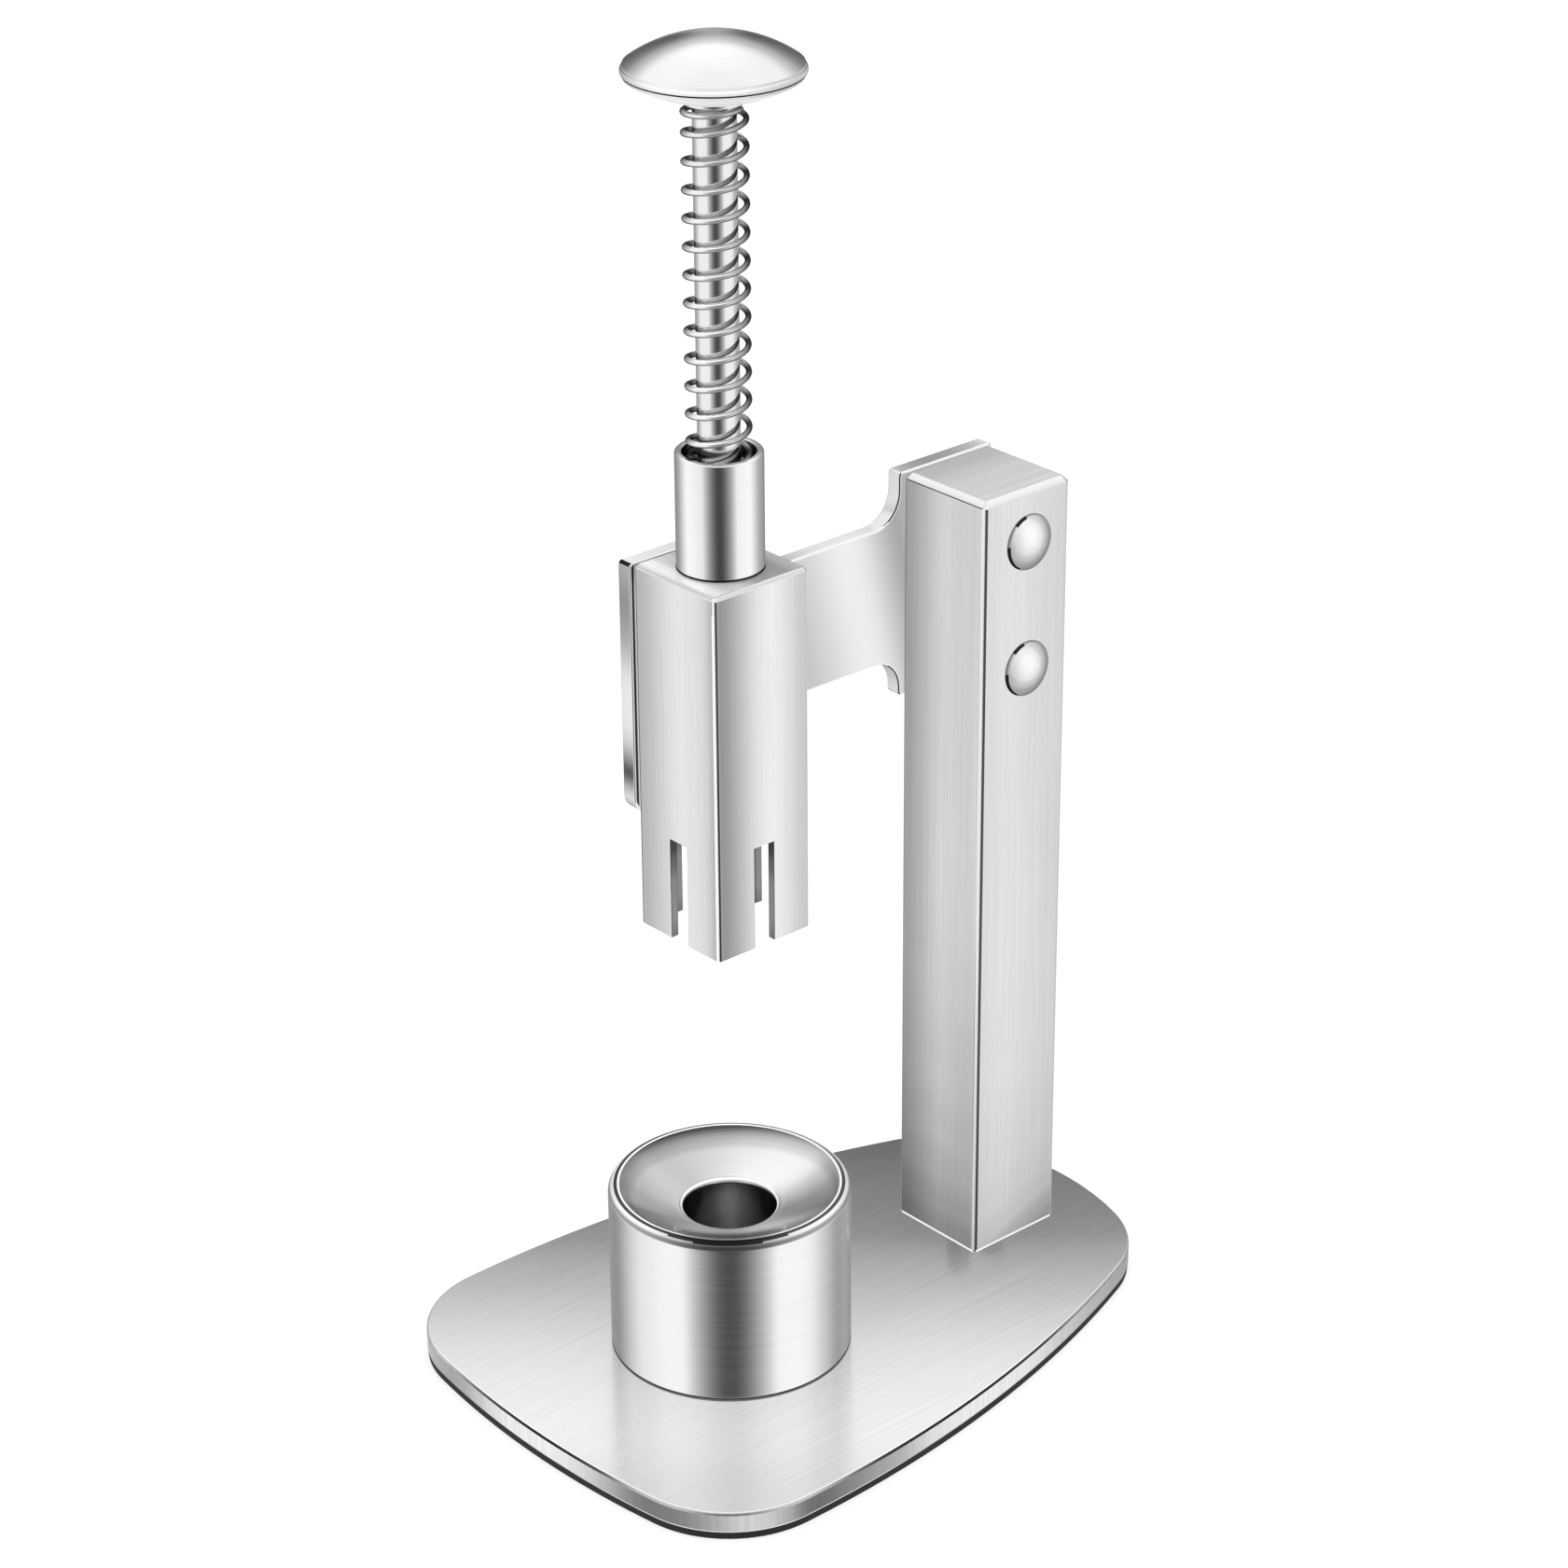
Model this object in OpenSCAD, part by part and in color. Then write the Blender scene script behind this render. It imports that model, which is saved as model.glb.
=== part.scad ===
// Hand-press cherry pitter. Millimetres, +Z up, -Y is the front, the ground is z = 0.
// The origin lies under the middle of the base. The arm plate is on the -X side.

/* [Base] */
// Length of the base plate, front to back
base_l = 126; // [118:1:150]
// Width of the base plate across its front corners
base_front_w = 91.4; // [84:0.2:110]
// Width of the base plate across its back corners
base_back_w = 62.8; // [56:0.2:76]
// Radius of the two front corners
front_corner_r = 20; // [12:1:24]
// Radius of the two back corners
back_corner_r = 21; // [14:1:24]
// Radius of the bowed front edge
front_bow_r = 180; // [120:5:400]
// Radius of the bowed side edges
side_bow_r = 230; // [180:5:400]
// Radius of the bowed back edge
back_bow_r = 54; // [50:1:120]
// Thickness of the base plate
base_t = 4; // [3.5:0.5:8]
// Thickness of the non-slip pad
pad_t = 1.3; // [0.8:0.1:3]
// How far the pad's edge is set in from the plate's edge
pad_inset = 0.1; // [0:0.1:3]

/* [Column] */
// Outside width of the square column
col_w = 20; // [18:0.5:24]
// Wall of the column tube
col_wall = 1.5; // [1:0.1:2.5]
// Radius of the column's long corners
col_corner_r = 1; // [0.6:0.1:2]
// Height of the column, the arm and the head above the base plate
stand_h = 146; // [136:1:170]
// Distance from the column's centre to the back edge of the base
col_setback = 22.1; // [20:0.1:32]
// Thickness of the column's top cap
col_cap_t = 3; // [2:0.5:5]
// Bevel round the top of the column and of the head
top_bevel = 1; // [0.4:0.1:1.4]
// Height of the block in the column's foot
foot_block_h = 14; // [12:1:24]
// Spacing of the two screws in the column's foot
foot_screw_pitch = 8.6; // [8.4:0.2:9.4]

/* [Arm plate] */
// Distance from the column's axis to the plunger's axis
reach = 59.4; // [56:0.2:62]
// Thickness of the arm plate
arm_t = 3; // [2.5:0.5:5]
// Height of the arm plate's wide end on the column
arm_back_h = 41.5; // [38:0.5:50]
// Height of the arm plate's wide end on the head
arm_front_h = 45; // [40:0.5:50]
// Length of each wide end along the arm
arm_end_l = 21.6; // [20:0.2:23]
// Height of the arm plate's neck
arm_neck_h = 25; // [18:1:30]
// Radius of the hollow corners beside the neck
arm_fillet_r = 5.8; // [2:0.2:6]
// Radius of the arm plate's two lower outer corners
arm_corner_r = 3; // [1:0.5:5]
// Radius of the arm plate's other outer corners
arm_edge_r = 0.8; // [0.4:0.1:1.2]
// Spacing of the two bolts and of the two head screws
bolt_pitch = 23.3; // [20:0.1:26]
// Depth of the middle of the bolts below the column's cap
bolt_drop = 18; // [17:0.5:20]

/* [Head] */
// Outside width of the square head
head_w = 20; // [18.5:0.1:22]
// Wall of the head tube
head_wall = 1.5; // [1.2:0.1:1.8]
// Radius of the head's long corners
head_corner_r = 0.7; // [0.4:0.1:1.4]
// Height of the head
head_h = 65; // [60:1:75]
// Width of the slots in the head's mouth
slot_w = 4.2; // [3:0.1:6]
// Height of the slots in the head's mouth
slot_h = 18.3; // [10:0.1:20]
// Thickness of the head's top cap
head_cap_t = 3; // [2.5:0.5:4]
// Height of the guide block in the head
block_h = 38.5; // [37:0.5:42]

/* [Sleeve and guides] */
// Outside diameter of the spring sleeve
sleeve_d = 14.4; // [14:0.1:16]
// Bore of the spring sleeve
sleeve_bore = 12; // [11.6:0.1:12.6]
// Height of the spring sleeve above the head
sleeve_h = 19.9; // [19:0.1:30]
// Thickness of the spring sleeve's floor
sleeve_floor_t = 2; // [1.5:0.1:3]
// Diameter of the sleeve's threaded shank in the guide block
shank_d = 11; // [10.6:0.1:12]
// Length of the sleeve's threaded shank
shank_l = 4; // [2:0.5:4.5]
// Outside diameter of the guide bushes
guide_d = 9; // [8.6:0.1:9.4]
// Thickness of the guide bushes' flanges
guide_flange_t = 1; // [0.8:0.1:1.6]
// Length of each guide bush under its flange
guide_l = 9; // [6:0.5:11]
// Diameter of the recess under the guide block
recess_d = 13; // [12.6:0.1:13.6]
// Depth of the recess under the guide block
recess_l = 5; // [4.5:0.1:6]

/* [Plunger] */
// Diameter of the push rod
rod_d = 7; // [6.6:0.1:7.2]
// Length of rod that shows between the sleeve and the spring washer
rod_show = 57.1; // [45:0.1:60]
// Diameter of the push cap
cap_d = 29; // [24:0.5:36]
// Height of the push cap's dome
cap_dome_h = 4.8; // [4:0.1:9]
// Thickness of the push cap's rim
cap_rim_t = 1.4; // [0.4:0.1:2]
// Depth of the push cap's curved underside
cap_under_h = 3.7; // [3:0.1:6]
// Diameter of the thread at the rod's top
cap_stud_d = 5; // [4:0.5:6]
// Length of the thread at the rod's top
cap_stud_l = 5; // [4:0.5:6]
// Diameter of the washer under the push cap
washer_d = 10.2; // [9.8:0.1:10.8]
// Thickness of the washer under the push cap
washer_t = 0.7; // [0.5:0.1:1.5]
// Diameter of the stop ring and of its buffer
stop_d = 11.6; // [10.6:0.1:12]
// Thickness of the stop ring
stop_ring_t = 1; // [0.8:0.1:1.4]
// Thickness of the rubber buffer
buffer_t = 1.5; // [1:0.1:2]
// Depth of the groove that holds the stop ring
groove_depth = 0.6; // [0.4:0.1:1]
// Length of the pitter tip below the rod
tip_l = 14; // [12:1:18]
// Length of the tip's crossed blades
blade_l = 10; // [6:0.5:11]
// Thickness of the tip's crossed blades
blade_t = 1.8; // [1.2:0.1:2.4]
// How far the tip sits inside the head's mouth at rest
tip_set_in = 1; // [0.5:0.5:6]
// Diameter of the tip's thread
tip_stud_d = 4; // [3:0.5:5]
// Length of the tip's thread
tip_stud_l = 6; // [4:0.5:8]

/* [Spring] */
// Outside diameter of the return spring
spring_od = 10.8; // [10.6:0.1:11.2]
// Diameter of the spring wire
wire_d = 1; // [0.8:0.05:1.1]
// Rise of one open turn
spring_pitch = 4.6; // [4:0.1:7]
// Rise of the closer turn at each end
end_pitch = 2; // [1.8:0.1:3]
// Angle round the rod at which the spring's top turn ends
spring_top_angle = 17; // [0:1:359]

/* [Cup] */
// Diameter of the cup
cup_d = 42; // [40:0.5:48]
// Height of the cup
cup_h = 31; // [28:0.5:36]
// Radius of the cup's top edge
cup_edge_r = 1.6; // [0.6:0.1:2]
// Diameter of the dish in the cup's top
dish_d = 38; // [34:0.5:38.5]
// Depth of the dish at the hole
dish_depth = 4.2; // [3:0.1:6]
// Diameter of the hole that the pit falls through
hole_d = 16; // [14:0.5:18]
// Radius of the hole's lip
lip_r = 1.2; // [0.6:0.1:2]
// Diameter of the chamber that the pits gather in
chamber_d = 36; // [32:0.5:37]
// Height of the chamber
chamber_h = 15; // [10:0.5:16]
// Thickness of the disc that centres the cup
locator_t = 3; // [2.5:0.1:5]

/* [Fasteners] */
// Diameter of the column bolts' heads
bolt_head_d = 10; // [9:0.1:12]
// Height of the domed bolt heads
bolt_head_h = 2.5; // [1.8:0.1:3]
// Diameter of the column bolts' threads
bolt_d = 5; // [4:0.5:5.5]
// Diameter of the barrel nuts
barrel_d = 7; // [6.4:0.1:8]
// Length of thread in the barrel nuts
barrel_l = 16; // [10:0.5:18]
// Outside diameter of the spacers in the column
spacer_d = 10; // [9:0.1:12]
// Diameter of the head screws' heads
screw_head_d = 7.6; // [7:0.1:9]
// Height of the domed screw heads
screw_head_h = 2.2; // [1.6:0.1:3]
// Diameter of the head screws' threads
screw_d = 4; // [3:0.5:4.5]
// Diameter of the countersunk screws' threads
flat_screw_d = 4; // [3:0.5:4]
// Diameter of the countersunk screws' heads
flat_head_d = 7.6; // [7:0.1:8.2]
// Length of the column's foot screws
foot_screw_l = 14; // [10:0.5:15]
// Width across flats of the sockets in the barrel nuts
barrel_key = 3; // [2.5:0.5:4]
// Width across flats of the sockets in the head screws
screw_key = 2.5; // [2:0.5:3]
// Depth of these sockets
key_depth = 1.3; // [0.9:0.1:1.5]

/* [Clearances] */
// Gap round a piece that is fixed in a hole
fit_gap = 0.05; // [0.03:0.01:0.1]
// Gap between the rod and its guides
run_gap = 0.05; // [0.03:0.01:0.1]
// Gap round the centring disc, so that the cup lifts off
cup_gap = 0.3; // [0.2:0.05:0.6]
// Gap left between the washer and the sleeve when the plunger is right down
stop_gap = 0.1; // [0.1:0.1:1]

/* [Hidden] */

steel = "silver";
polished = "gainsboro";
plastic = "whitesmoke";
rubber = "dimgray";

// How far a cutting shape runs past the faces that it cuts
spare = 1;

// Number of straight pieces that a corner, a bowed edge and a full turn are drawn with
corner_steps = 5;
outline_steps = 12;
round_steps = 96;

// Heights above the ground
deck = pad_t + base_t;
top = deck + stand_h;
mouth = top - head_h;
block_top = top - head_cap_t;
block_low = block_top - block_h;
recess_top = block_low + recess_l;
bolt_mid = top - col_cap_t - bolt_drop;
sleeve_top = top + sleeve_h;
sleeve_low = block_top;
sleeve_floor = sleeve_low + sleeve_floor_t;
shank_low = sleeve_low - shank_l;
spring_low = sleeve_floor + guide_flange_t;
spring_top = sleeve_top + rod_show;
cap_low = spring_top + washer_t;
cap_rim = cap_low + cap_under_h;
tip_low = mouth + tip_set_in;
rod_low = tip_low + tip_l;
lower_flange_low = recess_top - guide_flange_t;
buffer_low = lower_flange_low - buffer_t;
ring_low = buffer_low - stop_ring_t;

// Places in the plan
col_y = base_l / 2 - col_setback;
axis_x = (head_w - col_w) / 2;
axis_y = col_y - reach;
arm_face_x = -col_w / 2;
rod_r = rod_d / 2;

// Travel of the plunger and the length that it leaves for the spring
travel = rod_show - stop_gap;
spring_l = spring_top - spring_low;

// Corner arcs of the base outline: centre across, centre along, radius
front_x = base_front_w / 2 - front_corner_r;
back_x = base_back_w / 2 - back_corner_r;
front_y = front_bow_r - sqrt(pow(front_bow_r - front_corner_r, 2) - pow(front_x, 2)) - base_l / 2;
back_y = base_l / 2 - back_bow_r + sqrt(pow(back_bow_r - back_corner_r, 2) - pow(back_x, 2));
base_corners = [
    [-front_x, front_y, front_corner_r],
    [front_x, front_y, front_corner_r],
    [back_x, back_y, back_corner_r],
    [-back_x, back_y, back_corner_r]];
base_bows = [front_bow_r, side_bow_r, back_bow_r, side_bow_r];

// Points along an arc, from one angle to another, both ends included
function arc(centre, r, from, to, steps) =
    [for (i = [0:steps]) centre + r * [
        cos(from + (to - from) * i / steps),
        sin(from + (to - from) * i / steps)]];

function unit(v) = v / norm(v);
function angle_of(v) = atan2(v.y, v.x);
function xy(p) = [p.x, p.y];

// An angle brought to between 0 and 360 above another
function past(a, low) = a < low ? past(a + 360, low) : a;

// Centre of the circle of radius r that two corner circles touch from inside
function bow_centre(a, b, r) =
    let (d = norm(xy(b) - xy(a)),
         u = unit(xy(b) - xy(a)),
         along = (pow(r - a[2], 2) - pow(r - b[2], 2) + d * d) / (2 * d),
         across = sqrt(pow(r - a[2], 2) - along * along))
    xy(a) + along * u + across * [-u.y, u.x];

// Outline of the base: each corner arc, then the bowed edge that follows it
function base_outline(inset) =
    let (centres = [for (i = [0:3])
        bow_centre(base_corners[i], base_corners[(i + 1) % 4], base_bows[i])])
    [for (i = [0:3])
        let (corner = base_corners[i],
             next = base_corners[(i + 1) % 4],
             start = angle_of(xy(corner) - centres[(i + 3) % 4]),
             turn = past(angle_of(xy(corner) - centres[i]), start),
             end = past(angle_of(xy(next) - centres[i]), turn),
             bow = arc(centres[i], base_bows[i] - inset, turn, end, outline_steps))
        each concat(
            arc(xy(corner), corner[2] - inset, start, turn, outline_steps),
            [for (k = [1:outline_steps - 1]) bow[k]])];

// Outline with rounded corners: each vertex holds its place and its corner radius
function rounded(v) =
    [for (i = [0:len(v) - 1])
        let (p = xy(v[i]),
             r = v[i][2],
             a = unit(xy(v[(i + len(v) - 1) % len(v)]) - p),
             b = unit(xy(v[(i + 1) % len(v)]) - p),
             half = acos(a * b) / 2,
             centre = p + unit(a + b) * r / sin(half),
             from = angle_of(p + a * r / tan(half) - centre),
             to = angle_of(p + b * r / tan(half) - centre),
             sweep = (to - from + 540) % 360 - 180)
        each arc(centre, r, from, from + sweep, corner_steps)];

// Square outline with equal round corners, drawn round the origin
function square_outline(w, r) =
    rounded([[-w / 2, -w / 2, r], [w / 2, -w / 2, r], [w / 2, w / 2, r], [-w / 2, w / 2, r]]);

// Upright cylinder between two heights
module rod_between(low, high, d) {
    translate([0, 0, low])
        cylinder(h = high - low, d = d, $fn = round_steps);
}

// Square bar between two heights
module bar_between(low, high, w, r) {
    translate([0, 0, low])
        linear_extrude(high - low)
            polygon(square_outline(w, r));
}

// Turns a piece so that its +Z points along +X, at a place on the column or the head
module facing_x(x, y, z) {
    translate([x, y, z])
        rotate([0, 90, 0])
            children();
}

// A piece at both bolt heights of the arm plate
module at_bolt_heights() {
    for (side = [-1, 1])
        translate([0, 0, bolt_mid + side * bolt_pitch / 2])
            children();
}

// Domed head that stands on z = 0, on a straight edge a quarter of its height
module domed_head(d, h) {
    edge = h / 4;
    dome_r = (d * d / 4 + pow(h - edge, 2)) / (2 * (h - edge));
    cylinder(h = edge, d = d, $fn = round_steps);
    intersection() {
        translate([0, 0, h - dome_r])
            sphere(r = dome_r, $fn = round_steps);
        translate([0, 0, edge])
            cylinder(h = h, d = d, $fn = round_steps);
    }
}

// Domed head with a hexagon socket for the key that turns it
module socket_head(d, h, key) {
    difference() {
        domed_head(d, h);
        translate([0, 0, h - key_depth])
            linear_extrude(key_depth + spare)
                polygon([for (i = [0:5]) key / sqrt(3) * [cos(60 * i), sin(60 * i)]]);
    }
}

// Countersunk screw with its flat head at z = 0 and its thread upwards
module flat_screw(l) {
    cone_h = (flat_head_d - flat_screw_d) / 2;
    cylinder(h = cone_h, d1 = flat_head_d, d2 = flat_screw_d, $fn = round_steps);
    translate([0, 0, cone_h])
        cylinder(h = l - cone_h, d = flat_screw_d, $fn = round_steps);
}

// Hole for a countersunk screw, opened past its head
module flat_screw_hole(l) {
    cone_h = (flat_head_d - flat_screw_d) / 2;
    hole_gap = 2 * fit_gap;
    cylinder(h = cone_h, d1 = flat_head_d + hole_gap, d2 = flat_screw_d + hole_gap, $fn = round_steps);
    cylinder(h = l, d = flat_screw_d + hole_gap, $fn = round_steps);
    translate([0, 0, -spare])
        cylinder(h = spare, d = flat_head_d + hole_gap, $fn = round_steps);
}

// A piece at both screw places in the column's foot
module at_foot_screws() {
    for (side = [-1, 1])
        translate([0, col_y + side * foot_screw_pitch / 2, pad_t])
            children();
}

module at_column() {
    translate([0, col_y, 0])
        children();
}

module at_plunger() {
    translate([axis_x, axis_y, 0])
        children();
}

// Flat rounded plate that everything stands on
module base_plate() {
    color(steel)
        difference() {
            translate([0, 0, pad_t])
                linear_extrude(base_t)
                    polygon(base_outline(0));
            at_foot_screws()
                flat_screw_hole(base_t + spare);
            at_plunger()
                rod_between(pad_t - spare, deck + spare, flat_screw_d + 2 * fit_gap);
        }
}

// Thin rubber sheet glued under the plate
module base_pad() {
    color(rubber)
        linear_extrude(pad_t)
            polygon(base_outline(pad_inset));
}

// Square tube that stands on the plate
module column_tube() {
    color(steel)
        difference() {
            at_column()
                bar_between(deck, top - col_cap_t, col_w, col_corner_r);
            at_column()
                bar_between(deck - spare, top, col_w - 2 * col_wall, col_corner_r / 2);
            at_bolt_heights() {
                facing_x(-col_w, col_y, 0)
                    cylinder(h = col_w, d = barrel_d + 2 * fit_gap, $fn = round_steps);
                facing_x(0, col_y, 0)
                    cylinder(h = col_w, d = bolt_d + 2 * fit_gap, $fn = round_steps);
            }
        }
}

// Long bar with two bevelled top edges, wider than a cap of width w by the spare all round
module bevelled_bar(low, w, turn) {
    out = w / 2 + spare;
    flat = w / 2 - top_bevel;
    rotate([90, 0, turn])
        translate([0, 0, -w])
            linear_extrude(2 * w)
                polygon([
                    [-out, low - spare], [out, low - spare], [out, top - top_bevel - spare],
                    [flat, top], [-flat, top], [-out, top - top_bevel - spare]]);
}

// Square cap, flush with a tube's outside and bevelled round its top
module bevelled_cap(low, w, r) {
    intersection() {
        bar_between(low, top + spare, w, r);
        bevelled_bar(low, w, 0);
        bevelled_bar(low, w, 90);
    }
}

// Cap that closes the column's top
module column_cap() {
    color(steel)
        at_column()
            bevelled_cap(top - col_cap_t, col_w, col_corner_r);
}

// Block in the column's foot, tapped for the foot screws
module column_foot_block() {
    block_w = col_w - 2 * col_wall - 2 * fit_gap;
    color(steel)
        difference() {
            at_column()
                bar_between(deck, deck + foot_block_h, block_w, col_corner_r / 2);
            at_foot_screws()
                rod_between(base_t - spare, base_t + foot_block_h + spare, flat_screw_d + 2 * fit_gap);
        }
}

// Countersunk screws up through the plate into the foot block
module column_foot_screws() {
    color(polished)
        at_foot_screws()
            flat_screw(foot_screw_l);
}

// Outline of the arm plate, along the arm and up, from the column's back to the head's front;
// the neck lies at the middle of the two ends, and its hollow corners stay within them
arm_back = col_y + arm_end_l / 2;
arm_front = axis_y - arm_end_l / 2;
back_low = top - arm_back_h;
front_low = top - arm_front_h;
neck_mid = (top + (back_low + front_low) / 2) / 2;
neck_low = neck_mid - arm_neck_h / 2;
neck_high = neck_mid + arm_neck_h / 2;
hollow_r = min(arm_fillet_r, min(top - neck_high, neck_low - max(back_low, front_low)) - 2 * arm_edge_r);
arm_outline = [
    [arm_back, back_low, arm_corner_r],
    [arm_back, top, arm_edge_r],
    [arm_back - arm_end_l, top, arm_edge_r],
    [arm_back - arm_end_l, neck_high, hollow_r],
    [arm_front + arm_end_l, neck_high, hollow_r],
    [arm_front + arm_end_l, top, arm_edge_r],
    [arm_front, top, arm_edge_r],
    [arm_front, front_low, arm_corner_r],
    [arm_front + arm_end_l, front_low, arm_edge_r],
    [arm_front + arm_end_l, neck_low, hollow_r],
    [arm_back - arm_end_l, neck_low, hollow_r],
    [arm_back - arm_end_l, back_low, arm_edge_r]];

// Flat plate on the -X side of the column and the head
module arm_plate() {
    color(steel)
        difference() {
            translate([arm_face_x, 0, 0])
                rotate([90, 0, -90])
                    linear_extrude(arm_t)
                        polygon([for (p = rounded(arm_outline)) [-p.x, p.y]]);
            at_bolt_heights() {
                facing_x(arm_face_x - 2 * arm_t, col_y, 0)
                    cylinder(h = 3 * arm_t, d = barrel_d + 2 * fit_gap, $fn = round_steps);
                facing_x(arm_face_x - 2 * arm_t, axis_y, 0)
                    cylinder(h = 3 * arm_t, d = screw_d + 2 * fit_gap, $fn = round_steps);
            }
        }
}

// Domed bolts through the column from its +X face
module column_bolts() {
    color(polished)
        at_bolt_heights()
            facing_x(col_w / 2, col_y, 0) {
                domed_head(bolt_head_d, bolt_head_h);
                translate([0, 0, -barrel_l])
                    cylinder(h = barrel_l, d = bolt_d, $fn = round_steps);
            }
}

// Barrel nuts from the arm plate's far face, threaded inside for the bolts
module column_barrel_nuts() {
    barrel_end = col_w - col_wall + arm_t;
    color(polished)
        at_bolt_heights()
            facing_x(arm_face_x - arm_t, col_y, 0)
                difference() {
                    union() {
                        mirror([0, 0, 1])
                            socket_head(bolt_head_d, bolt_head_h, barrel_key);
                        cylinder(h = barrel_end, d = barrel_d, $fn = round_steps);
                    }
                    translate([0, 0, col_w + arm_t - barrel_l - spare])
                        cylinder(h = barrel_l + spare, d = bolt_d + 2 * fit_gap, $fn = round_steps);
                }
}

// Tubes between the column's walls, round the barrel nuts
module column_spacers() {
    spacer_l = col_w - 2 * col_wall;
    color(steel)
        at_bolt_heights()
            facing_x(-spacer_l / 2, col_y, 0)
                difference() {
                    cylinder(h = spacer_l, d = spacer_d, $fn = round_steps);
                    translate([0, 0, -spare])
                        cylinder(h = spacer_l + 2 * spare, d = barrel_d + 2 * fit_gap, $fn = round_steps);
                }
}

// Square tube that holds the plunger, slotted in each face at its open mouth
module head_tube() {
    color(steel)
        difference() {
            at_plunger()
                bar_between(mouth, block_top, head_w, head_corner_r);
            at_plunger()
                bar_between(mouth - spare, top, head_w - 2 * head_wall, head_corner_r / 2);
            at_plunger()
                for (turn = [0, 90])
                    rotate([0, 0, turn])
                        translate([-slot_w / 2, -head_w, mouth - spare])
                            cube([slot_w, 2 * head_w, slot_h + spare]);
            at_bolt_heights()
                facing_x(-col_w, axis_y, 0)
                    cylinder(h = col_w, d = screw_d + 2 * fit_gap, $fn = round_steps);
        }
}

// Cap that closes the head's top and holds the sleeve
module head_cap() {
    color(steel)
        at_plunger()
            difference() {
                bevelled_cap(block_top, head_w, head_corner_r);
                rod_between(block_top - spare, top + spare, sleeve_d + 2 * fit_gap);
            }
}

// Block in the head that carries the sleeve, the lower guide and the head screws
module guide_block() {
    rod_room = 0.5;
    bore_d = rod_d + 2 * rod_room;
    seat_d = guide_d + 2 * fit_gap;
    color(steel)
        difference() {
            at_plunger()
                bar_between(block_low, block_top, head_w - 2 * head_wall - 2 * fit_gap, head_corner_r / 2);
            at_plunger() {
                rod_between(block_low - spare, block_top + spare, bore_d);
                rod_between(block_low - spare, recess_top, recess_d);
                rod_between(recess_top - spare, recess_top + guide_l, seat_d);
                rod_between(shank_low, block_top + spare, shank_d + 2 * fit_gap);
                rod_between(sleeve_floor - guide_l - fit_gap, block_top, seat_d);
            }
            at_bolt_heights()
                facing_x(-col_w, axis_y, 0)
                    cylinder(h = col_w + axis_x, d = screw_d + 2 * fit_gap, $fn = round_steps);
        }
}

// Domed screws through the arm plate and the head's wall into the guide block
module head_screws() {
    thread_l = arm_t - arm_face_x + axis_x - guide_d / 2 - 4 * fit_gap;
    color(polished)
        at_bolt_heights()
            facing_x(arm_face_x - arm_t, axis_y, 0) {
                mirror([0, 0, 1])
                    socket_head(screw_head_d, screw_head_h, screw_key);
                cylinder(h = thread_l, d = screw_d, $fn = round_steps);
            }
}

// Turned sleeve that the spring stands in, screwed into the guide block by its shank;
// a third of its wall is bevelled off outside the rim
module spring_sleeve() {
    rim = (sleeve_d - sleeve_bore) / 2 / 3;
    color(polished)
        at_plunger()
            difference() {
                union() {
                    rod_between(sleeve_low, sleeve_top - rim, sleeve_d);
                    translate([0, 0, sleeve_top - rim])
                        cylinder(h = rim, d1 = sleeve_d, d2 = sleeve_d - 2 * rim, $fn = round_steps);
                    rod_between(shank_low, sleeve_low, shank_d);
                }
                rod_between(sleeve_floor, sleeve_top + spare, sleeve_bore);
                rod_between(shank_low - spare, sleeve_floor + spare, guide_d + 2 * fit_gap);
            }
}

// Flanged bush for the rod, with its flange from z = 0 up
module guide_bush(flange_d) {
    difference() {
        union() {
            rod_between(0, guide_flange_t, flange_d);
            rod_between(-guide_l, guide_flange_t, guide_d);
        }
        rod_between(-guide_l - spare, guide_flange_t + spare, rod_d + 2 * run_gap);
    }
}

// Bush in the sleeve's foot; the spring stands on its flange
module upper_guide() {
    color(plastic)
        at_plunger()
            translate([0, 0, sleeve_floor])
                guide_bush(sleeve_bore - 2 * fit_gap);
}

// Bush in the guide block, flange down in the recess
module lower_guide() {
    color(plastic)
        at_plunger()
            translate([0, 0, recess_top])
                mirror([0, 0, 1])
                    guide_bush(recess_d - 2 * fit_gap);
}

// Height of the spring wire's centre, a number of turns above its lower end
spring_r = (spring_od - wire_d) / 2;
spring_rise = spring_l - 2 * wire_d;
open_turns = (spring_rise - 2 * end_pitch) / spring_pitch;
spring_turns = open_turns + 2;
function wire_z(t) =
    spring_low + wire_d + min(t, 1) * end_pitch
    + max(0, min(t - 1, open_turns)) * spring_pitch
    + max(0, t - 1 - open_turns) * end_pitch;

// The wire's centre line: a straight foot, the turns, and a straight head
curl_rings = 8;
wire_sides = 6;
ring_count = ceil(spring_turns * curl_rings);
function wire_point(t) =
    let (a = spring_top_angle + 360 * (t - spring_turns))
    [spring_r * cos(a), spring_r * sin(a), wire_z(t)];
function on_height(p, z) = [p.x, p.y, z];
wire_path = concat(
    [on_height(wire_point(0), spring_low)],
    [for (i = [0:ring_count]) wire_point(spring_turns * i / ring_count)],
    [on_height(wire_point(spring_turns), spring_top)]);

// Ring of points round the centre line, square to it and level at both ends
function wire_ring(i) =
    let (last = len(wire_path) - 1,
         p = wire_path[i],
         outward = unit([p.x, p.y, 0]),
         ends = i == 0 || i == last,
         along = ends ? [0, 0, 1] : unit(wire_path[i + 1] - wire_path[i - 1]),
         upward = cross(along, outward),
         side = unit(cross(upward, along)))
    [for (k = [0:wire_sides - 1])
        p + wire_d / 2 * (side * cos(360 * k / wire_sides) + unit(upward) * sin(360 * k / wire_sides))];

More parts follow.
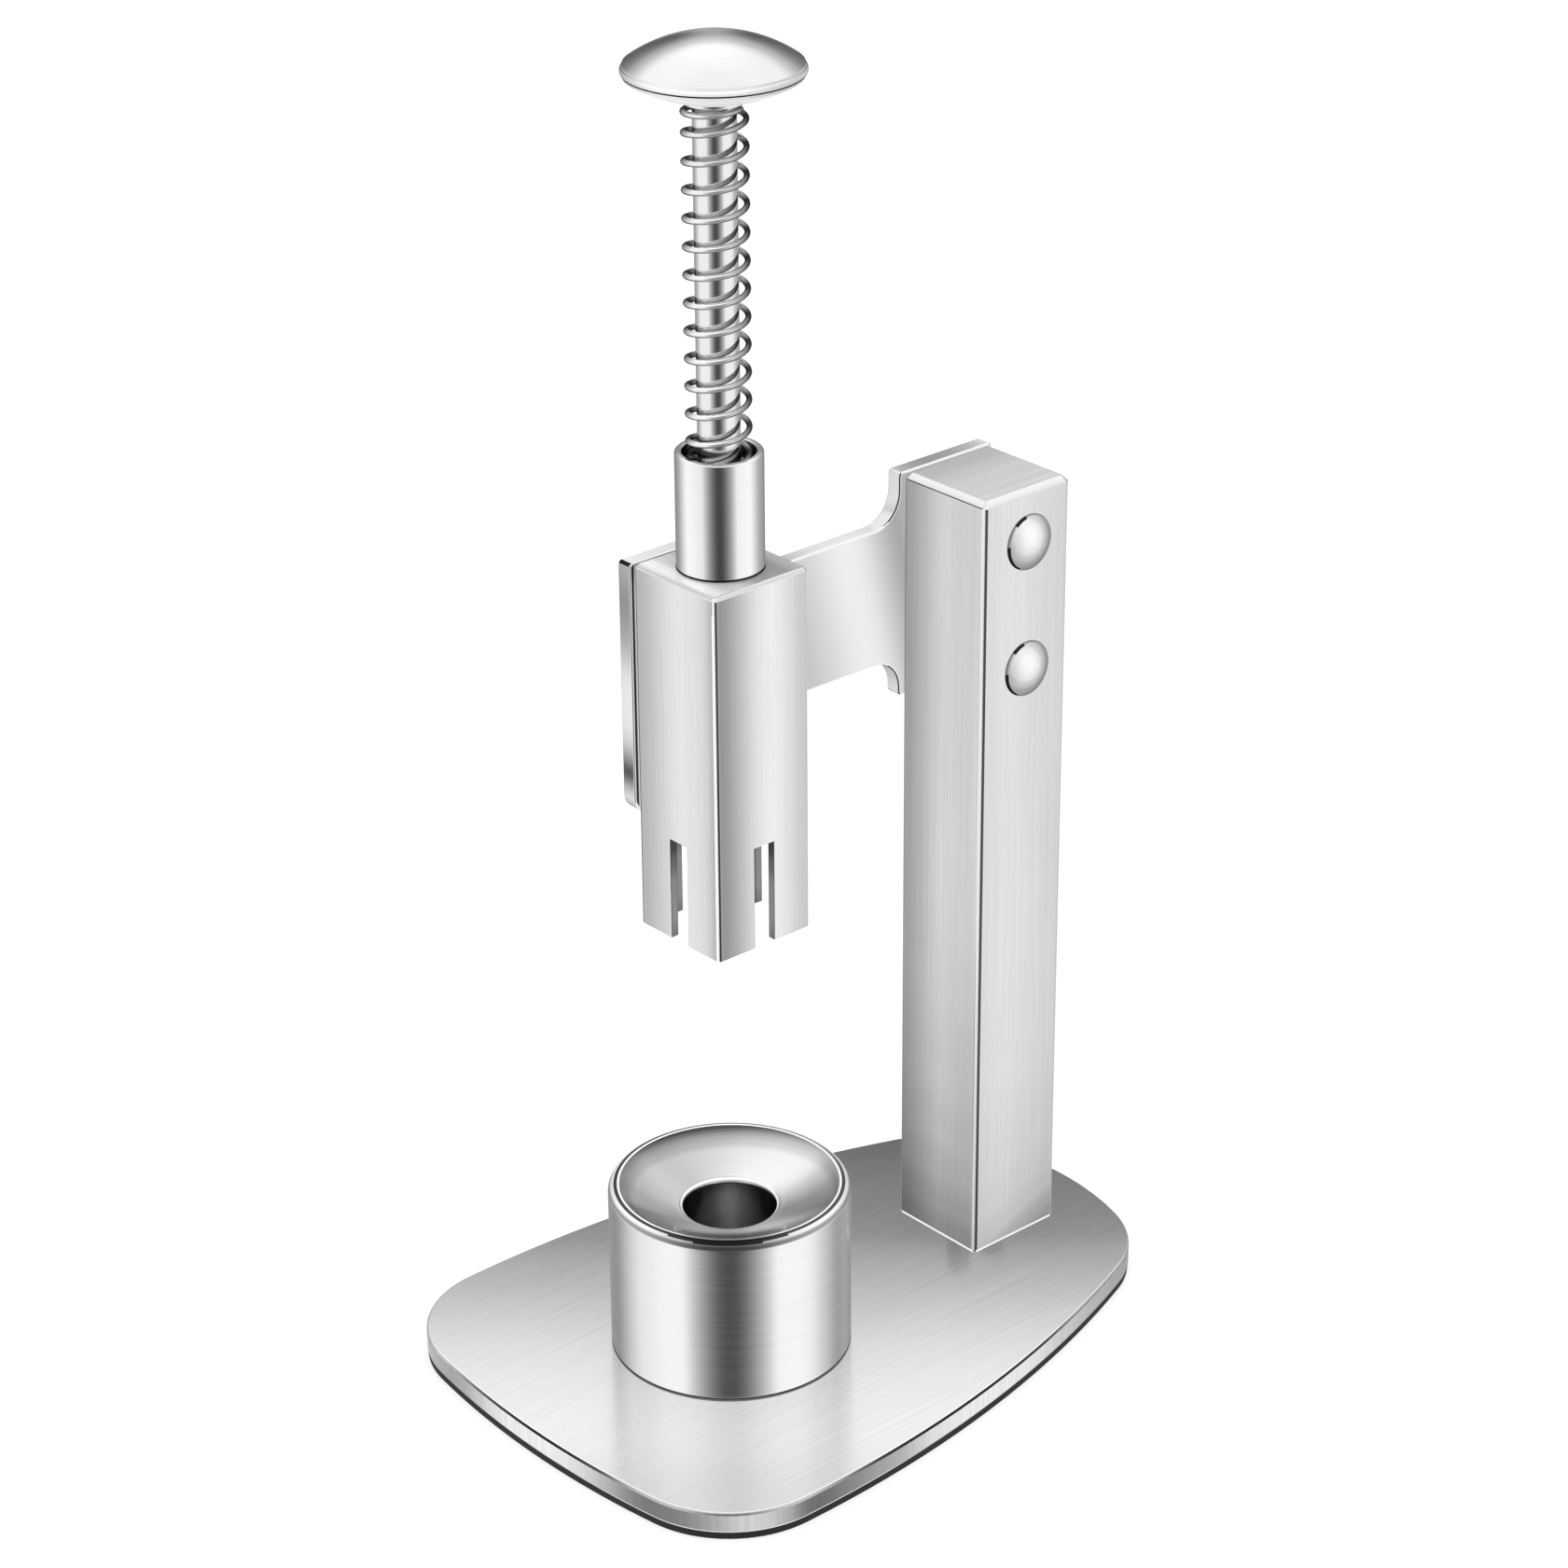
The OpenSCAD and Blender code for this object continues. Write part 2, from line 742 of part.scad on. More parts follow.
// One closed tube through a list of rings, in triangles
module swept_tube(rings) {
    sides = len(rings[0]);
    last = len(rings) - 1;
    points = [for (ring = rings) each ring];
    walls = [for (i = [0:last - 1], k = [0:sides - 1])
        let (a = i * sides + k, b = i * sides + (k + 1) % sides)
        each [[a, b, b + sides], [a, b + sides, a + sides]]];
    foot = [for (k = [1:sides - 2]) [0, k + 1, k]];
    head = [for (k = [1:sides - 2]) [last * sides, last * sides + k, last * sides + k + 1]];
    polyhedron(points = points, faces = concat(walls, foot, head), convexity = 10);
}

// Least gap between the wire and itself, measured on points at least half a turn apart
gap_points = [for (i = [0:ring_count * 2]) wire_point(spring_turns * i / (ring_count * 2))];
spring_gap = min([for (i = [0:len(gap_points) - 1], k = [i + curl_rings:1:len(gap_points) - 1])
    norm(gap_points[i] - gap_points[k])]) - wire_d;
echo(spring_gap = spring_gap, spring_turns = spring_turns, solid_length = (spring_turns + 1) * wire_d,
        length_when_pressed = spring_l - travel, triangles = 2 * wire_sides * (len(wire_path) - 1));

// Open coil spring round the rod
module return_spring() {
    color(polished)
        at_plunger()
            swept_tube([for (i = [0:len(wire_path) - 1]) wire_ring(i)]);
}

// Round rod with a thread at the top, a stop groove and a tapped lower end
module push_rod() {
    color(polished)
        at_plunger()
            difference() {
                union() {
                    rod_between(rod_low, cap_low, rod_d);
                    rod_between(cap_low - spare, cap_low + cap_stud_l, cap_stud_d);
                }
                difference() {
                    rod_between(ring_low - fit_gap, ring_low + stop_ring_t + fit_gap, rod_d + spare);
                    rod_between(ring_low - spare, ring_low + stop_ring_t + spare, rod_d - 2 * groove_depth);
                }
                rod_between(rod_low - spare, rod_low + tip_stud_l + fit_gap, tip_stud_d + 2 * fit_gap);
            }
}

// Mushroom cap: a dome, a thin rim and a curved underside with a flat seat
module push_cap() {
    cap_r = cap_d / 2;
    seat_r = washer_d / 2;
    dome_r = (cap_r * cap_r + cap_dome_h * cap_dome_h) / (2 * cap_dome_h);
    under_z = (cap_r * cap_r - seat_r * seat_r + cap_under_h * cap_under_h) / (2 * cap_under_h);
    under_r = norm([seat_r, under_z]);
    dome_low = cap_rim + cap_rim_t;
    color(polished)
        at_plunger()
            difference() {
                union() {
                    intersection() {
                        translate([0, 0, dome_low + cap_dome_h - dome_r])
                            sphere(r = dome_r, $fn = round_steps);
                        rod_between(dome_low, dome_low + cap_dome_h + spare, cap_d);
                    }
                    rod_between(cap_rim, dome_low, cap_d);
                    intersection() {
                        translate([0, 0, cap_low + under_z])
                            sphere(r = under_r, $fn = round_steps);
                        rod_between(cap_low, cap_rim, cap_d);
                    }
                }
                rod_between(cap_low - spare, cap_low + cap_stud_l + fit_gap, cap_stud_d + 2 * fit_gap);
            }
}

// Flat ring with a hole that clears its shaft
module flat_ring(low, t, outer_d, inner_d) {
    difference() {
        rod_between(low, low + t, outer_d);
        rod_between(low - spare, low + t + spare, inner_d);
    }
}

// Washer between the spring and the cap
module spring_washer() {
    color(polished)
        at_plunger()
            flat_ring(spring_top, washer_t, washer_d, rod_d + 2 * fit_gap);
}

// Retaining ring in the rod's groove
module stop_ring() {
    color(steel)
        at_plunger()
            flat_ring(ring_low, stop_ring_t, stop_d, rod_d - 2 * groove_depth + 2 * fit_gap);
}

// Rubber ring that softens the plunger's return
module stop_buffer() {
    color(rubber)
        at_plunger()
            flat_ring(buffer_low, buffer_t, stop_d, rod_d + 2 * fit_gap);
}

// Punch with crossed blades and a hollow end that grips the pit
module pitter_tip() {
    cone_r = (blade_t + rod_r) / 2;
    color(polished)
        at_plunger()
            difference() {
                union() {
                    rod_between(tip_low + blade_l, rod_low, rod_d);
                    intersection() {
                        rod_between(tip_low, tip_low + blade_l + spare, rod_d);
                        for (turn = [0, 90])
                            rotate([0, 0, turn])
                                translate([-rod_d, -blade_t / 2, tip_low])
                                    cube([2 * rod_d, blade_t, blade_l + spare]);
                    }
                    rod_between(rod_low - spare, rod_low + tip_stud_l, tip_stud_d);
                }
                translate([0, 0, tip_low - spare])
                    cylinder(h = cone_r + spare, r1 = cone_r + spare, r2 = 0, $fn = round_steps);
            }
}

// Half section of the cup, from its foot: out, up, over the edge, down the dish and the hole
cup_r = cup_d / 2;
hole_r = hole_d / 2;
dish_r = dish_d / 2;
lip_out = hole_r + lip_r;
dish_low = cup_h - dish_depth;
dish_z = (dish_r * dish_r - lip_out * lip_out + cup_h * cup_h - dish_low * dish_low) / (2 * dish_depth);
dish_curve_r = norm([dish_r, dish_z - cup_h]);
foot_bevel = 0.4;
ceiling_slope = 1;
cup_outline = concat(
    [[chamber_d / 2, 0], [cup_r - foot_bevel, 0], [cup_r, foot_bevel]],
    arc([cup_r - cup_edge_r, cup_h - cup_edge_r], cup_edge_r, 0, 90, corner_steps),
    arc([0, dish_z], dish_curve_r,
        atan2(cup_h - dish_z, dish_r), atan2(dish_low - dish_z, lip_out), outline_steps),
    arc([lip_out, dish_low - lip_r], lip_r, 90, 180, corner_steps),
    [[hole_r, chamber_h], [chamber_d / 2, chamber_h - ceiling_slope]]);

// Turned cup that the cherry sits in; the pit drops into its chamber
module cherry_cup() {
    color(steel)
        at_plunger()
            translate([0, 0, deck])
                rotate_extrude($fn = round_steps)
                    polygon(cup_outline);
}

// Disc on the plate that keeps the cup under the plunger
module cup_locator() {
    color(steel)
        at_plunger()
            translate([0, 0, deck])
                difference() {
                    cylinder(h = locator_t, d = chamber_d - 2 * cup_gap, $fn = round_steps);
                    translate([0, 0, locator_t])
                        mirror([0, 0, 1])
                            flat_screw_hole(locator_t + spare);
                }
}

// Countersunk screw down through the disc into the plate, a little short of the pad
module cup_locator_screw() {
    end_gap = 0.4;
    color(polished)
        at_plunger()
            translate([0, 0, deck + locator_t])
                mirror([0, 0, 1])
                    flat_screw(locator_t + base_t - end_gap);
}

base_plate();
base_pad();
column_tube();
column_cap();
column_foot_block();
column_foot_screws();
arm_plate();
column_bolts();
column_barrel_nuts();
column_spacers();
head_tube();
head_cap();
guide_block();
head_screws();
spring_sleeve();
upper_guide();
lower_guide();
return_spring();
push_rod();
push_cap();
spring_washer();
stop_ring();
stop_buffer();
pitter_tip();
cherry_cup();
cup_locator();
cup_locator_screw();
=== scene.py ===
"""Hand-press cherry pitter in stainless steel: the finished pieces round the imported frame.

Sizes are in millimetres and become metres when a piece is made. +Z is up and -Y is the front.
The sections follow the object as it is put together, from the ground plate to the fruit cup.
"""

import math

import bmesh
import bpy
from mathutils import Matrix, Vector


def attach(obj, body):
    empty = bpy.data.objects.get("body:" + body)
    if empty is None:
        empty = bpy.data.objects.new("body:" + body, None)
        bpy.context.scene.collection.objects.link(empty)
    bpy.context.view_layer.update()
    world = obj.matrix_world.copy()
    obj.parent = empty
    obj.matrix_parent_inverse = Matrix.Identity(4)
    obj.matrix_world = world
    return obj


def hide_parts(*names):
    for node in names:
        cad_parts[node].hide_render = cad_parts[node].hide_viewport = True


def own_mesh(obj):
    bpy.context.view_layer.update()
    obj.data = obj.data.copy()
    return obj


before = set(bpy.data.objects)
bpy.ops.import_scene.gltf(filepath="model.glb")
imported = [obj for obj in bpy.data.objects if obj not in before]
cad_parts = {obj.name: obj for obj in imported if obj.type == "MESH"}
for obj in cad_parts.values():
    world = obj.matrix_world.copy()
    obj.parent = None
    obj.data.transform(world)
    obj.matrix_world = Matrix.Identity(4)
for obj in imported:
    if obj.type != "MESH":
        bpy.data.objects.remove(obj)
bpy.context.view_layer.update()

# Camera
# The object was photographed from its right front, from above, through a long lens.
# The place, the tilt and the lens were found by fitting the object's own edges to the picture.
camera_turn = math.radians(48.68)
camera_rise = math.radians(25.71)
camera_roll = math.radians(-0.42)
camera_distance = 0.70978
camera_aim = Vector((0.00573, -0.01032, 0.11162))

camera = bpy.data.objects.new("camera", bpy.data.cameras.new("camera"))
bpy.context.scene.collection.objects.link(camera)
bpy.context.scene.camera = camera
camera.data.sensor_width = 36.0
camera.data.lens = 98.70
camera.data.clip_start = 0.01
camera.data.clip_end = 20.0
to_camera = Vector((
    math.sin(camera_turn) * math.cos(camera_rise),
    -math.cos(camera_turn) * math.cos(camera_rise),
    math.sin(camera_rise)))
level_right = Vector((math.cos(camera_turn), math.sin(camera_turn), 0.0))
level_up = level_right.cross(-to_camera)
image_right = level_right * math.cos(camera_roll) + level_up * math.sin(camera_roll)
image_up = level_up * math.cos(camera_roll) - level_right * math.sin(camera_roll)
camera_axes = Matrix((image_right, image_up, to_camera)).transposed().to_4x4()
camera.matrix_world = Matrix.Translation(camera_aim + to_camera * camera_distance) @ camera_axes

# Studio
# A white table under a white tent, with one dark upright strip beside the camera and greyer cloth
# behind the object, which gives the round steel its dark and light bands. The metals mirror the
# tent and a few other pieces, never the table, and the camera sees the tent as plain white.
floor_reach = 4.0
floor_mesh = bpy.data.meshes.new("table_top")
floor_mesh.from_pydata(
    [(-floor_reach, -floor_reach, 0), (floor_reach, -floor_reach, 0),
     (floor_reach, floor_reach, 0), (-floor_reach, floor_reach, 0)], [], [(0, 1, 2, 3)])
table_top = bpy.data.objects.new("table_top", floor_mesh)
bpy.context.scene.collection.objects.link(table_top)
table_top.visible_glossy = False


def laid_node(tree, kind, settings, *feeds):
    """Adds one node to the tent or to a material: its kind, its settings, and what feeds its sockets."""
    node = tree.nodes.new(kind)
    for key, value in settings.items():
        setattr(node, key, value)
    for socket, feed in enumerate(feeds):
        if isinstance(feed, bpy.types.NodeSocket):
            tree.links.new(feed, node.inputs[socket])
        elif feed is not None:
            node.inputs[socket].default_value = feed
    return node


def number_step(tree, operation, *feeds):
    """One step of arithmetic on numbers."""
    return laid_node(tree, "ShaderNodeMath", {"operation": operation}, *feeds).outputs[0]


def place_step(tree, operation, *feeds):
    """One step of arithmetic on places. A length or a dot product comes out as a number."""
    step = laid_node(tree, "ShaderNodeVectorMath", {"operation": operation}, *feeds)
    return step.outputs["Value" if operation in ("LENGTH", "DOT_PRODUCT") else "Vector"]


def share_between(tree, feed, low, high, way="LINEAR"):
    """How far a number has come from low to high, from 0 to 1."""
    settings = {"interpolation_type": way}
    return laid_node(tree, "ShaderNodeMapRange", settings, feed, low, high, 0.0, 1.0).outputs[0]


def bearing_about(tree, place):
    """The bearing of a place about the upright axis, in radians from the front."""
    across, back, _ = laid_node(tree, "ShaderNodeSeparateXYZ", {}, place).outputs
    return number_step(tree, "ARCTAN2", across, number_step(tree, "MULTIPLY", back, -1.0))


def blended(tree, share, first, second, way="MIX"):
    """Mixes two colours by a share."""
    mix = laid_node(tree, "ShaderNodeMix", {"data_type": "RGBA", "blend_type": way})
    for socket, feed in (("Factor", share), ("A", first), ("B", second)):
        if isinstance(feed, bpy.types.NodeSocket):
            tree.links.new(feed, mix.inputs[socket])
        else:
            mix.inputs[socket].default_value = feed
    return mix.outputs["Result"]


def shades(tree, along, stops):
    """Turns a number from 0 to 1 into a grey, through a list of places and how bright each is.

    A long list is smoothed into one curve, a short one runs evenly from place to place.
    """
    long_list = 12
    ramp_node = laid_node(tree, "ShaderNodeValToRGB", {}, along)
    ramp = ramp_node.color_ramp
    ramp.interpolation = "B_SPLINE" if len(stops) > long_list else "EASE"
    for place, _ in stops[1:-1]:
        ramp.elements.new(place)
    for element, (place, bright) in zip(sorted(ramp.elements, key=lambda e: e.position), stops):
        element.position = place
        element.color = (bright, bright, bright, 1)
    return ramp_node.outputs["Color"]


table_white = bpy.data.materials.new("table_white")
table_white.use_nodes = True
table_sockets = table_white.node_tree.nodes["Principled BSDF"].inputs
table_sockets["Base Color"].default_value = (0.30, 0.30, 0.30, 1)
table_sockets["Roughness"].default_value = 0.9
table_sockets["Specular IOR Level"].default_value = 0.0
table_sockets["Emission Color"].default_value = (1.0, 1.0, 1.0, 1)
table_sockets["Emission Strength"].default_value = 0.66
floor_mesh.materials.append(table_white)

tent = bpy.data.worlds.new("tent")
bpy.context.scene.world = tent
tent.use_nodes = True
cloth = tent.node_tree
cloth.nodes.clear()
tent_turns = [(-180, 0.45), (-150, 0.46), (-130, 0.42), (-108, 0.76), (-88, 1.1), (-66, 1.38), (-50, 1.2),
              (-36, 0.62), (-20, 0.22), (-7, 0.065), (7, 0.07), (20, 0.24), (36, 0.62), (50, 1.17),
              (66, 1.39), (86, 1), (106, 0.65), (122, 0.45), (140, 0.5), (156, 0.42), (180, 0.45)]
tent_rises = [(-1, 0.95), (0.05, 0.45), (0.3, 0.55), (0.42, 0.7), (0.5, 0.7), (0.55, 0.85), (0.6, 1.02),
              (0.66, 1.15), (0.85, 1.05), (1, 0.95)]
look = laid_node(cloth, "ShaderNodeTexCoord", {}).outputs["Generated"]
rise = laid_node(cloth, "ShaderNodeSeparateXYZ", {}, look).outputs["Z"]
from_camera = number_step(cloth, "SUBTRACT", bearing_about(cloth, look), camera_turn)
around = number_step(cloth, "WRAP", from_camera, math.pi, -math.pi)
by_turn = shades(cloth, share_between(cloth, around, -math.pi, math.pi),
                 [((t + 180) / 360, b) for t, b in tent_turns])
by_rise = shades(cloth, share_between(cloth, rise, -1.0, 1.0), [((z + 1) / 2, b) for z, b in tent_rises])
overhead = share_between(cloth, rise, 0.30, 0.48, "SMOOTHSTEP")
below = share_between(cloth, rise, -0.62, -0.80, "SMOOTHSTEP")
by_height = number_step(cloth, "ADD", overhead, below)
tent_cloth = blended(cloth, by_height, by_turn, by_rise)
tent_glow = laid_node(cloth, "ShaderNodeBackground", {}, tent_cloth, 1.0)
backdrop_white = laid_node(cloth, "ShaderNodeBackground", {}, (1.0, 1.0, 1.0, 1.0), 0.955)
straight_look = laid_node(cloth, "ShaderNodeLightPath", {}).outputs["Is Camera Ray"]
tent_sides = laid_node(cloth, "ShaderNodeMixShader", {}, straight_look, tent_glow.outputs[0],
                       backdrop_white.outputs[0])
laid_node(cloth, "ShaderNodeOutputWorld", {}, tent_sides.outputs[0])

soft_lamp = bpy.data.objects.new("soft_lamp", bpy.data.lights.new("soft_lamp", "AREA"))
bpy.context.scene.collection.objects.link(soft_lamp)
soft_lamp.data.shape = "DISK"
soft_lamp.data.size = 3.0
soft_lamp.data.energy = 40.0
soft_lamp.location = (0.0, 0.0, 2.0)
soft_lamp.visible_glossy = False

bpy.context.scene.view_settings.view_transform = "Standard"

# Ground plate
# A 4 mm stainless plate that everything stands on, cut with bowed sides and round corners.
# Its top is brushed from front to back, and its edge is eased by hand along the top.
mm = 0.001
plate_low, plate_high = 1.3, 5.3
plate_half_length = 63.0
plate_corners = ((25.7, 20.0), (10.4, 21.0))  # half of the width between centres, radius: front, back
plate_bows = (180.0, 230.0, 54.0, 230.0)  # front, right side, back, left side
plate_eased = 0.4
plate_lower_eased = 0.35
plate_line_depth = 0.2


def arc(centre, radius, start, end, steps):
    """Points on an arc, both ends included; the angles are in radians."""
    return [(centre[0] + radius * math.cos(start + (end - start) * i / steps),
             centre[1] + radius * math.sin(start + (end - start) * i / steps)) for i in range(steps + 1)]


def plate_outline(steps=20):
    """The plate seen from above: each round corner, then the bowed side that follows it."""
    (front_x, front_r), (back_x, back_r) = plate_corners
    front_bow, _, back_bow, _ = plate_bows
    front_y = front_bow - math.sqrt((front_bow - front_r) ** 2 - front_x ** 2) - plate_half_length
    back_y = plate_half_length - back_bow + math.sqrt((back_bow - back_r) ** 2 - back_x ** 2)
    corners = [(-front_x, front_y, front_r), (front_x, front_y, front_r),
               (back_x, back_y, back_r), (-back_x, back_y, back_r)]
    centres = []
    for i, bow in enumerate(plate_bows):
        (ax, ay, ar), (bx, by, br) = corners[i], corners[(i + 1) % 4]
        gap = math.hypot(bx - ax, by - ay)
        ux, uy = (bx - ax) / gap, (by - ay) / gap
        along = ((bow - ar) ** 2 - (bow - br) ** 2 + gap * gap) / (2 * gap)
        across = math.sqrt((bow - ar) ** 2 - along * along)
        centres.append((ax + along * ux - across * uy, ay + along * uy + across * ux))
    outline = []
    for i, (x, y, r) in enumerate(corners):
        bow_x, bow_y = centres[i]
        next_x, next_y, _ = corners[(i + 1) % 4]
        start = math.atan2(y - centres[i - 1][1], x - centres[i - 1][0])
        turn = start + (math.atan2(y - bow_y, x - bow_x) - start) % math.tau
        end = turn + (math.atan2(next_y - bow_y, next_x - bow_x) - turn) % math.tau
        outline += arc((x, y), r, start, turn, steps)
        outline += arc((bow_x, bow_y), plate_bows[i], turn, end, steps)[1:-1]
    return outline


def drawn_in(outline, distance):
    """The same outline, that far inside itself. It runs anticlockwise."""
    sharpest = 0.3
    drawn = []
    for i, (x, y) in enumerate(outline):
        before = Vector((x - outline[i - 1][0], y - outline[i - 1][1])).normalized()
        after_point = outline[(i + 1) % len(outline)]
        after = Vector((after_point[0] - x, after_point[1] - y)).normalized()
        inward = Vector((-before.y - after.y, before.x + after.x)).normalized()
        reach = distance / max(sharpest, inward.dot(Vector((-after.y, after.x))))
        drawn.append((x + inward.x * reach, y + inward.y * reach))
    return drawn


def eased_edges(low, high, low_ease, high_ease, steps=5):
    """How far in and how high each ring of a flat piece is, with both of its edges rounded."""
    quarter = [i * math.pi / 2 / steps for i in range(steps + 1)]
    lower = [(low_ease * (1 - math.sin(a)), low + low_ease * (1 - math.cos(a))) for a in quarter]
    upper = [(high_ease * (1 - math.cos(a)), high - high_ease * (1 - math.sin(a))) for a in quarter]
    return lower + upper


def joined_rings(rings, ends="flat"):
    """Corners and faces of a form built up from like rings.

    ends: flat, where both ends are closed, or round, where the last ring joins the first.
    """
    count = len(rings[0])
    corners = [point for ring in rings for point in ring]
    pairs = [(i, i + 1) for i in range(len(rings) - 1)]
    if ends == "round":
        pairs.append((len(rings) - 1, 0))
    faces = [(a * count + k, a * count + (k + 1) % count, b * count + (k + 1) % count, b * count + k)
             for a, b in pairs for k in range(count)]
    if ends == "flat":
        faces += [tuple(reversed(range(count))), tuple(range(len(corners) - count, len(corners)))]
    return corners, faces


def settle_edges(mesh, crease):
    """Smooth faces that meet sharply where the turn is more than the crease angle."""
    mesh.shade_smooth()
    mesh.set_sharp_from_angle(angle=math.radians(crease))


def made_piece(name, corners, faces, crease=35):
    """A new piece from corners in millimetres."""
    mesh = bpy.data.meshes.new(name)
    mesh.from_pydata([[c * mm for c in corner] for corner in corners], [], faces)
    shell = bmesh.new()
    shell.from_mesh(mesh)
    bmesh.ops.remove_doubles(shell, verts=shell.verts, dist=1e-7)
    bmesh.ops.recalc_face_normals(shell, faces=shell.faces)
    shell.to_mesh(mesh)
    shell.free()
    settle_edges(mesh, crease)
    piece = bpy.data.objects.new(name, mesh)
    bpy.context.scene.collection.objects.link(piece)
    return piece


def finished(piece, metal, body, node, mirrored=False):
    """Gives a piece its finish, and fits it to its body and to the node that it stands for.

    mirrored: whether the pieces round it show it in their polish.
    """
    piece.data.materials.clear()
    piece.data.materials.append(metal)
    even = piece.modifiers.new("even_faces", "WEIGHTED_NORMAL")
    even.keep_sharp = True
    piece.visible_glossy = mirrored
    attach(piece, body)
    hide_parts(node)


def carved(tree, shader, height, strength, depth):
    """Lets a pattern raise and lower the surface a little."""
    relief = laid_node(tree, "ShaderNodeBump", {})
    relief.inputs["Strength"].default_value = strength
    relief.inputs["Distance"].default_value = depth
    tree.links.new(height, relief.inputs["Height"])
    tree.links.new(relief.outputs[0], shader.inputs["Normal"])


def way_from(tree, place, centre):
    """The level way from an upright axis to a place. The axis is given in millimetres."""
    way = place_step(tree, "SUBTRACT", place, (centre[0] * mm, centre[1] * mm, 0.0))
    return place_step(tree, "MULTIPLY", way, (1.0, 1.0, 0.0))


def polishing_lines(tree, lines, place, at):
    """The fine pattern that polishing leaves, drawn out along its lines or round the upright axis."""
    fine, line_length, wander = 1900.0, 90.0, 30.0
    if lines == "turned":
        way = way_from(tree, place, at)
        height = laid_node(tree, "ShaderNodeSeparateXYZ", {}, place).outputs["Z"]
        reach = place_step(tree, "LENGTH", way)
        ring = laid_node(tree, "ShaderNodeCombineXYZ", {}, reach, height).outputs[0]
        drift = place_step(tree, "MULTIPLY", way, (wander,) * 3)
        grain_place = place_step(tree, "MULTIPLY_ADD", ring, (fine,) * 3, drift)
    else:
        grain_place = place_step(tree, "MULTIPLY", place,
                                 tuple(fine / line_length if lines == axis else fine for axis in "XYZ"))
    grain = laid_node(tree, "ShaderNodeTexNoise", {}, grain_place)
    for socket, size in (("Scale", 1.0), ("Detail", 3.0), ("Roughness", 0.6)):
        grain.inputs[socket].default_value = size
    return grain.outputs["Fac"]


def painted_shading(tree, colour, surface, at, told, where, stops):
    """Paints light and shade into a colour, mostly darker, by one of the ways that steel_finish names."""
    even_back = 2.0  # degrees each side of the back that keep one tone, so that both ends meet
    low, high = stops[0][0], stops[-1][0]
    unit, strength = mm, 1.0
    if told == "around":
        way = way_from(tree, surface["Object"], at)
        along, unit = bearing_about(tree, way), math.radians(1.0)
        start, end = stops[0][1], stops[-1][1]
        stops = [(low, start), (low + even_back, start), *stops[1:-1], (high - even_back, end), (high, end)]
        if where:
            strength = share_between(tree, place_step(tree, "LENGTH", way), 0.0, where * mm, "SMOOTHSTEP")
    elif told == "from":
        along = place_step(tree, "LENGTH", way_from(tree, surface["Object"], where))
    elif told == "facing":
        along = place_step(tree, "DOT_PRODUCT", surface["Normal"], tuple(Vector(where).normalized()))
        unit = 1.0
    else:
        along = place_step(tree, "DOT_PRODUCT", surface["Object"], where)
    share = share_between(tree, along, low * unit, high * unit)
    tone = shades(tree, share, [((place - low) / (high - low), bright) for place, bright in stops])
    return blended(tree, strength, colour, tone, "MULTIPLY")


def steel_finish(name, lines, tone, roughness, streaks=0.03, stretch=0.0, at=(0.0, 0.0), metallic=1.0,
                 tones=()):
    """Stainless steel polished in one direction.

    lines: X, Y or Z, the way that the polishing lines run, or turned, for lines round an upright axis.
    tone: the steel's own brightness, and streaks: how much the lines vary it.
    stretch: how far highlights are drawn out across the lines.
    at: the place of the upright axis.
    tones: painted light and shade, multiplied into the colour as bands and gradients, mostly darker,
    that stand in for reflections and shadows. Each has a way of telling a place, a where, and a list
    of places with the share of the brightness that is left there. The ways are
        along: millimetres in the direction of where
        around: degrees round the axis from the front, fading out inside the radius where, if it has one
        from: millimetres from the upright axis through where
        facing: how much the surface faces the direction of where, from -1 to 1
    """
    brightest, cool = 0.97, 1.004
    metal = bpy.data.materials.new(name)
    metal.use_nodes = True
    tree = metal.node_tree
    shader = tree.nodes["Principled BSDF"]
    shader.inputs["Metallic"].default_value = metallic
    shader.inputs["Anisotropic"].default_value = stretch
    surface = laid_node(tree, "ShaderNodeTexCoord", {}).outputs
    grain = polishing_lines(tree, lines, surface["Object"], at)
    bands = share_between(tree, grain, 0.3, 0.7)
    dark, light = tone * (1 - streaks), min(brightest, tone * (1 + streaks * 0.6))
    colour = blended(tree, bands, (dark, dark, dark * cool, 1), (light, light, light * cool, 1))
    # Painted light and shade: each entry of tones multiplies its bands into the colour.
    for told, where, stops in tones:
        colour = painted_shading(tree, colour, surface, at, told, where, stops)
    tree.links.new(colour, shader.inputs["Base Color"])
    tree.links.new(colour, shader.inputs["Specular Tint"])
    handling = laid_node(tree, "ShaderNodeTexNoise", {}, surface["Object"])
    handling.inputs["Scale"].default_value = 45.0
    handling.inputs["Detail"].default_value = 2.0
    wear = number_step(tree, "MULTIPLY_ADD", handling.outputs["Fac"], roughness * 0.25, roughness * 0.75)
    gloss = number_step(tree, "MULTIPLY_ADD", bands, roughness * 0.25, wear)
    tree.links.new(gloss, shader.inputs["Roughness"])
    lie_axis = "Z" if lines == "turned" else lines
    lie = laid_node(tree, "ShaderNodeTangent", {"direction_type": "RADIAL", "axis": lie_axis})
    tree.links.new(lie.outputs[0], shader.inputs["Tangent"])
    if lines == "turned":
        shader.inputs["Anisotropic Rotation"].default_value = 0.25
    carved(tree, shader, grain, strength=0.35, depth=0.00001)
    return metal


def second_finish(piece, metal, chosen):
    """Gives another finish to the faces that a rule picks by their way of facing and their middle."""
    piece.data.materials.append(metal)
    for face in piece.data.polygons:
        if chosen(face.normal, face.center / mm):
            face.material_index = len(piece.data.materials) - 1


def laid_flat(outline, heights):
    """Rings of a flat piece: its outline drawn in and raised by turns."""
    return [[(x, y, z) for x, y in drawn_in(outline, inset)] for inset, z in heights]
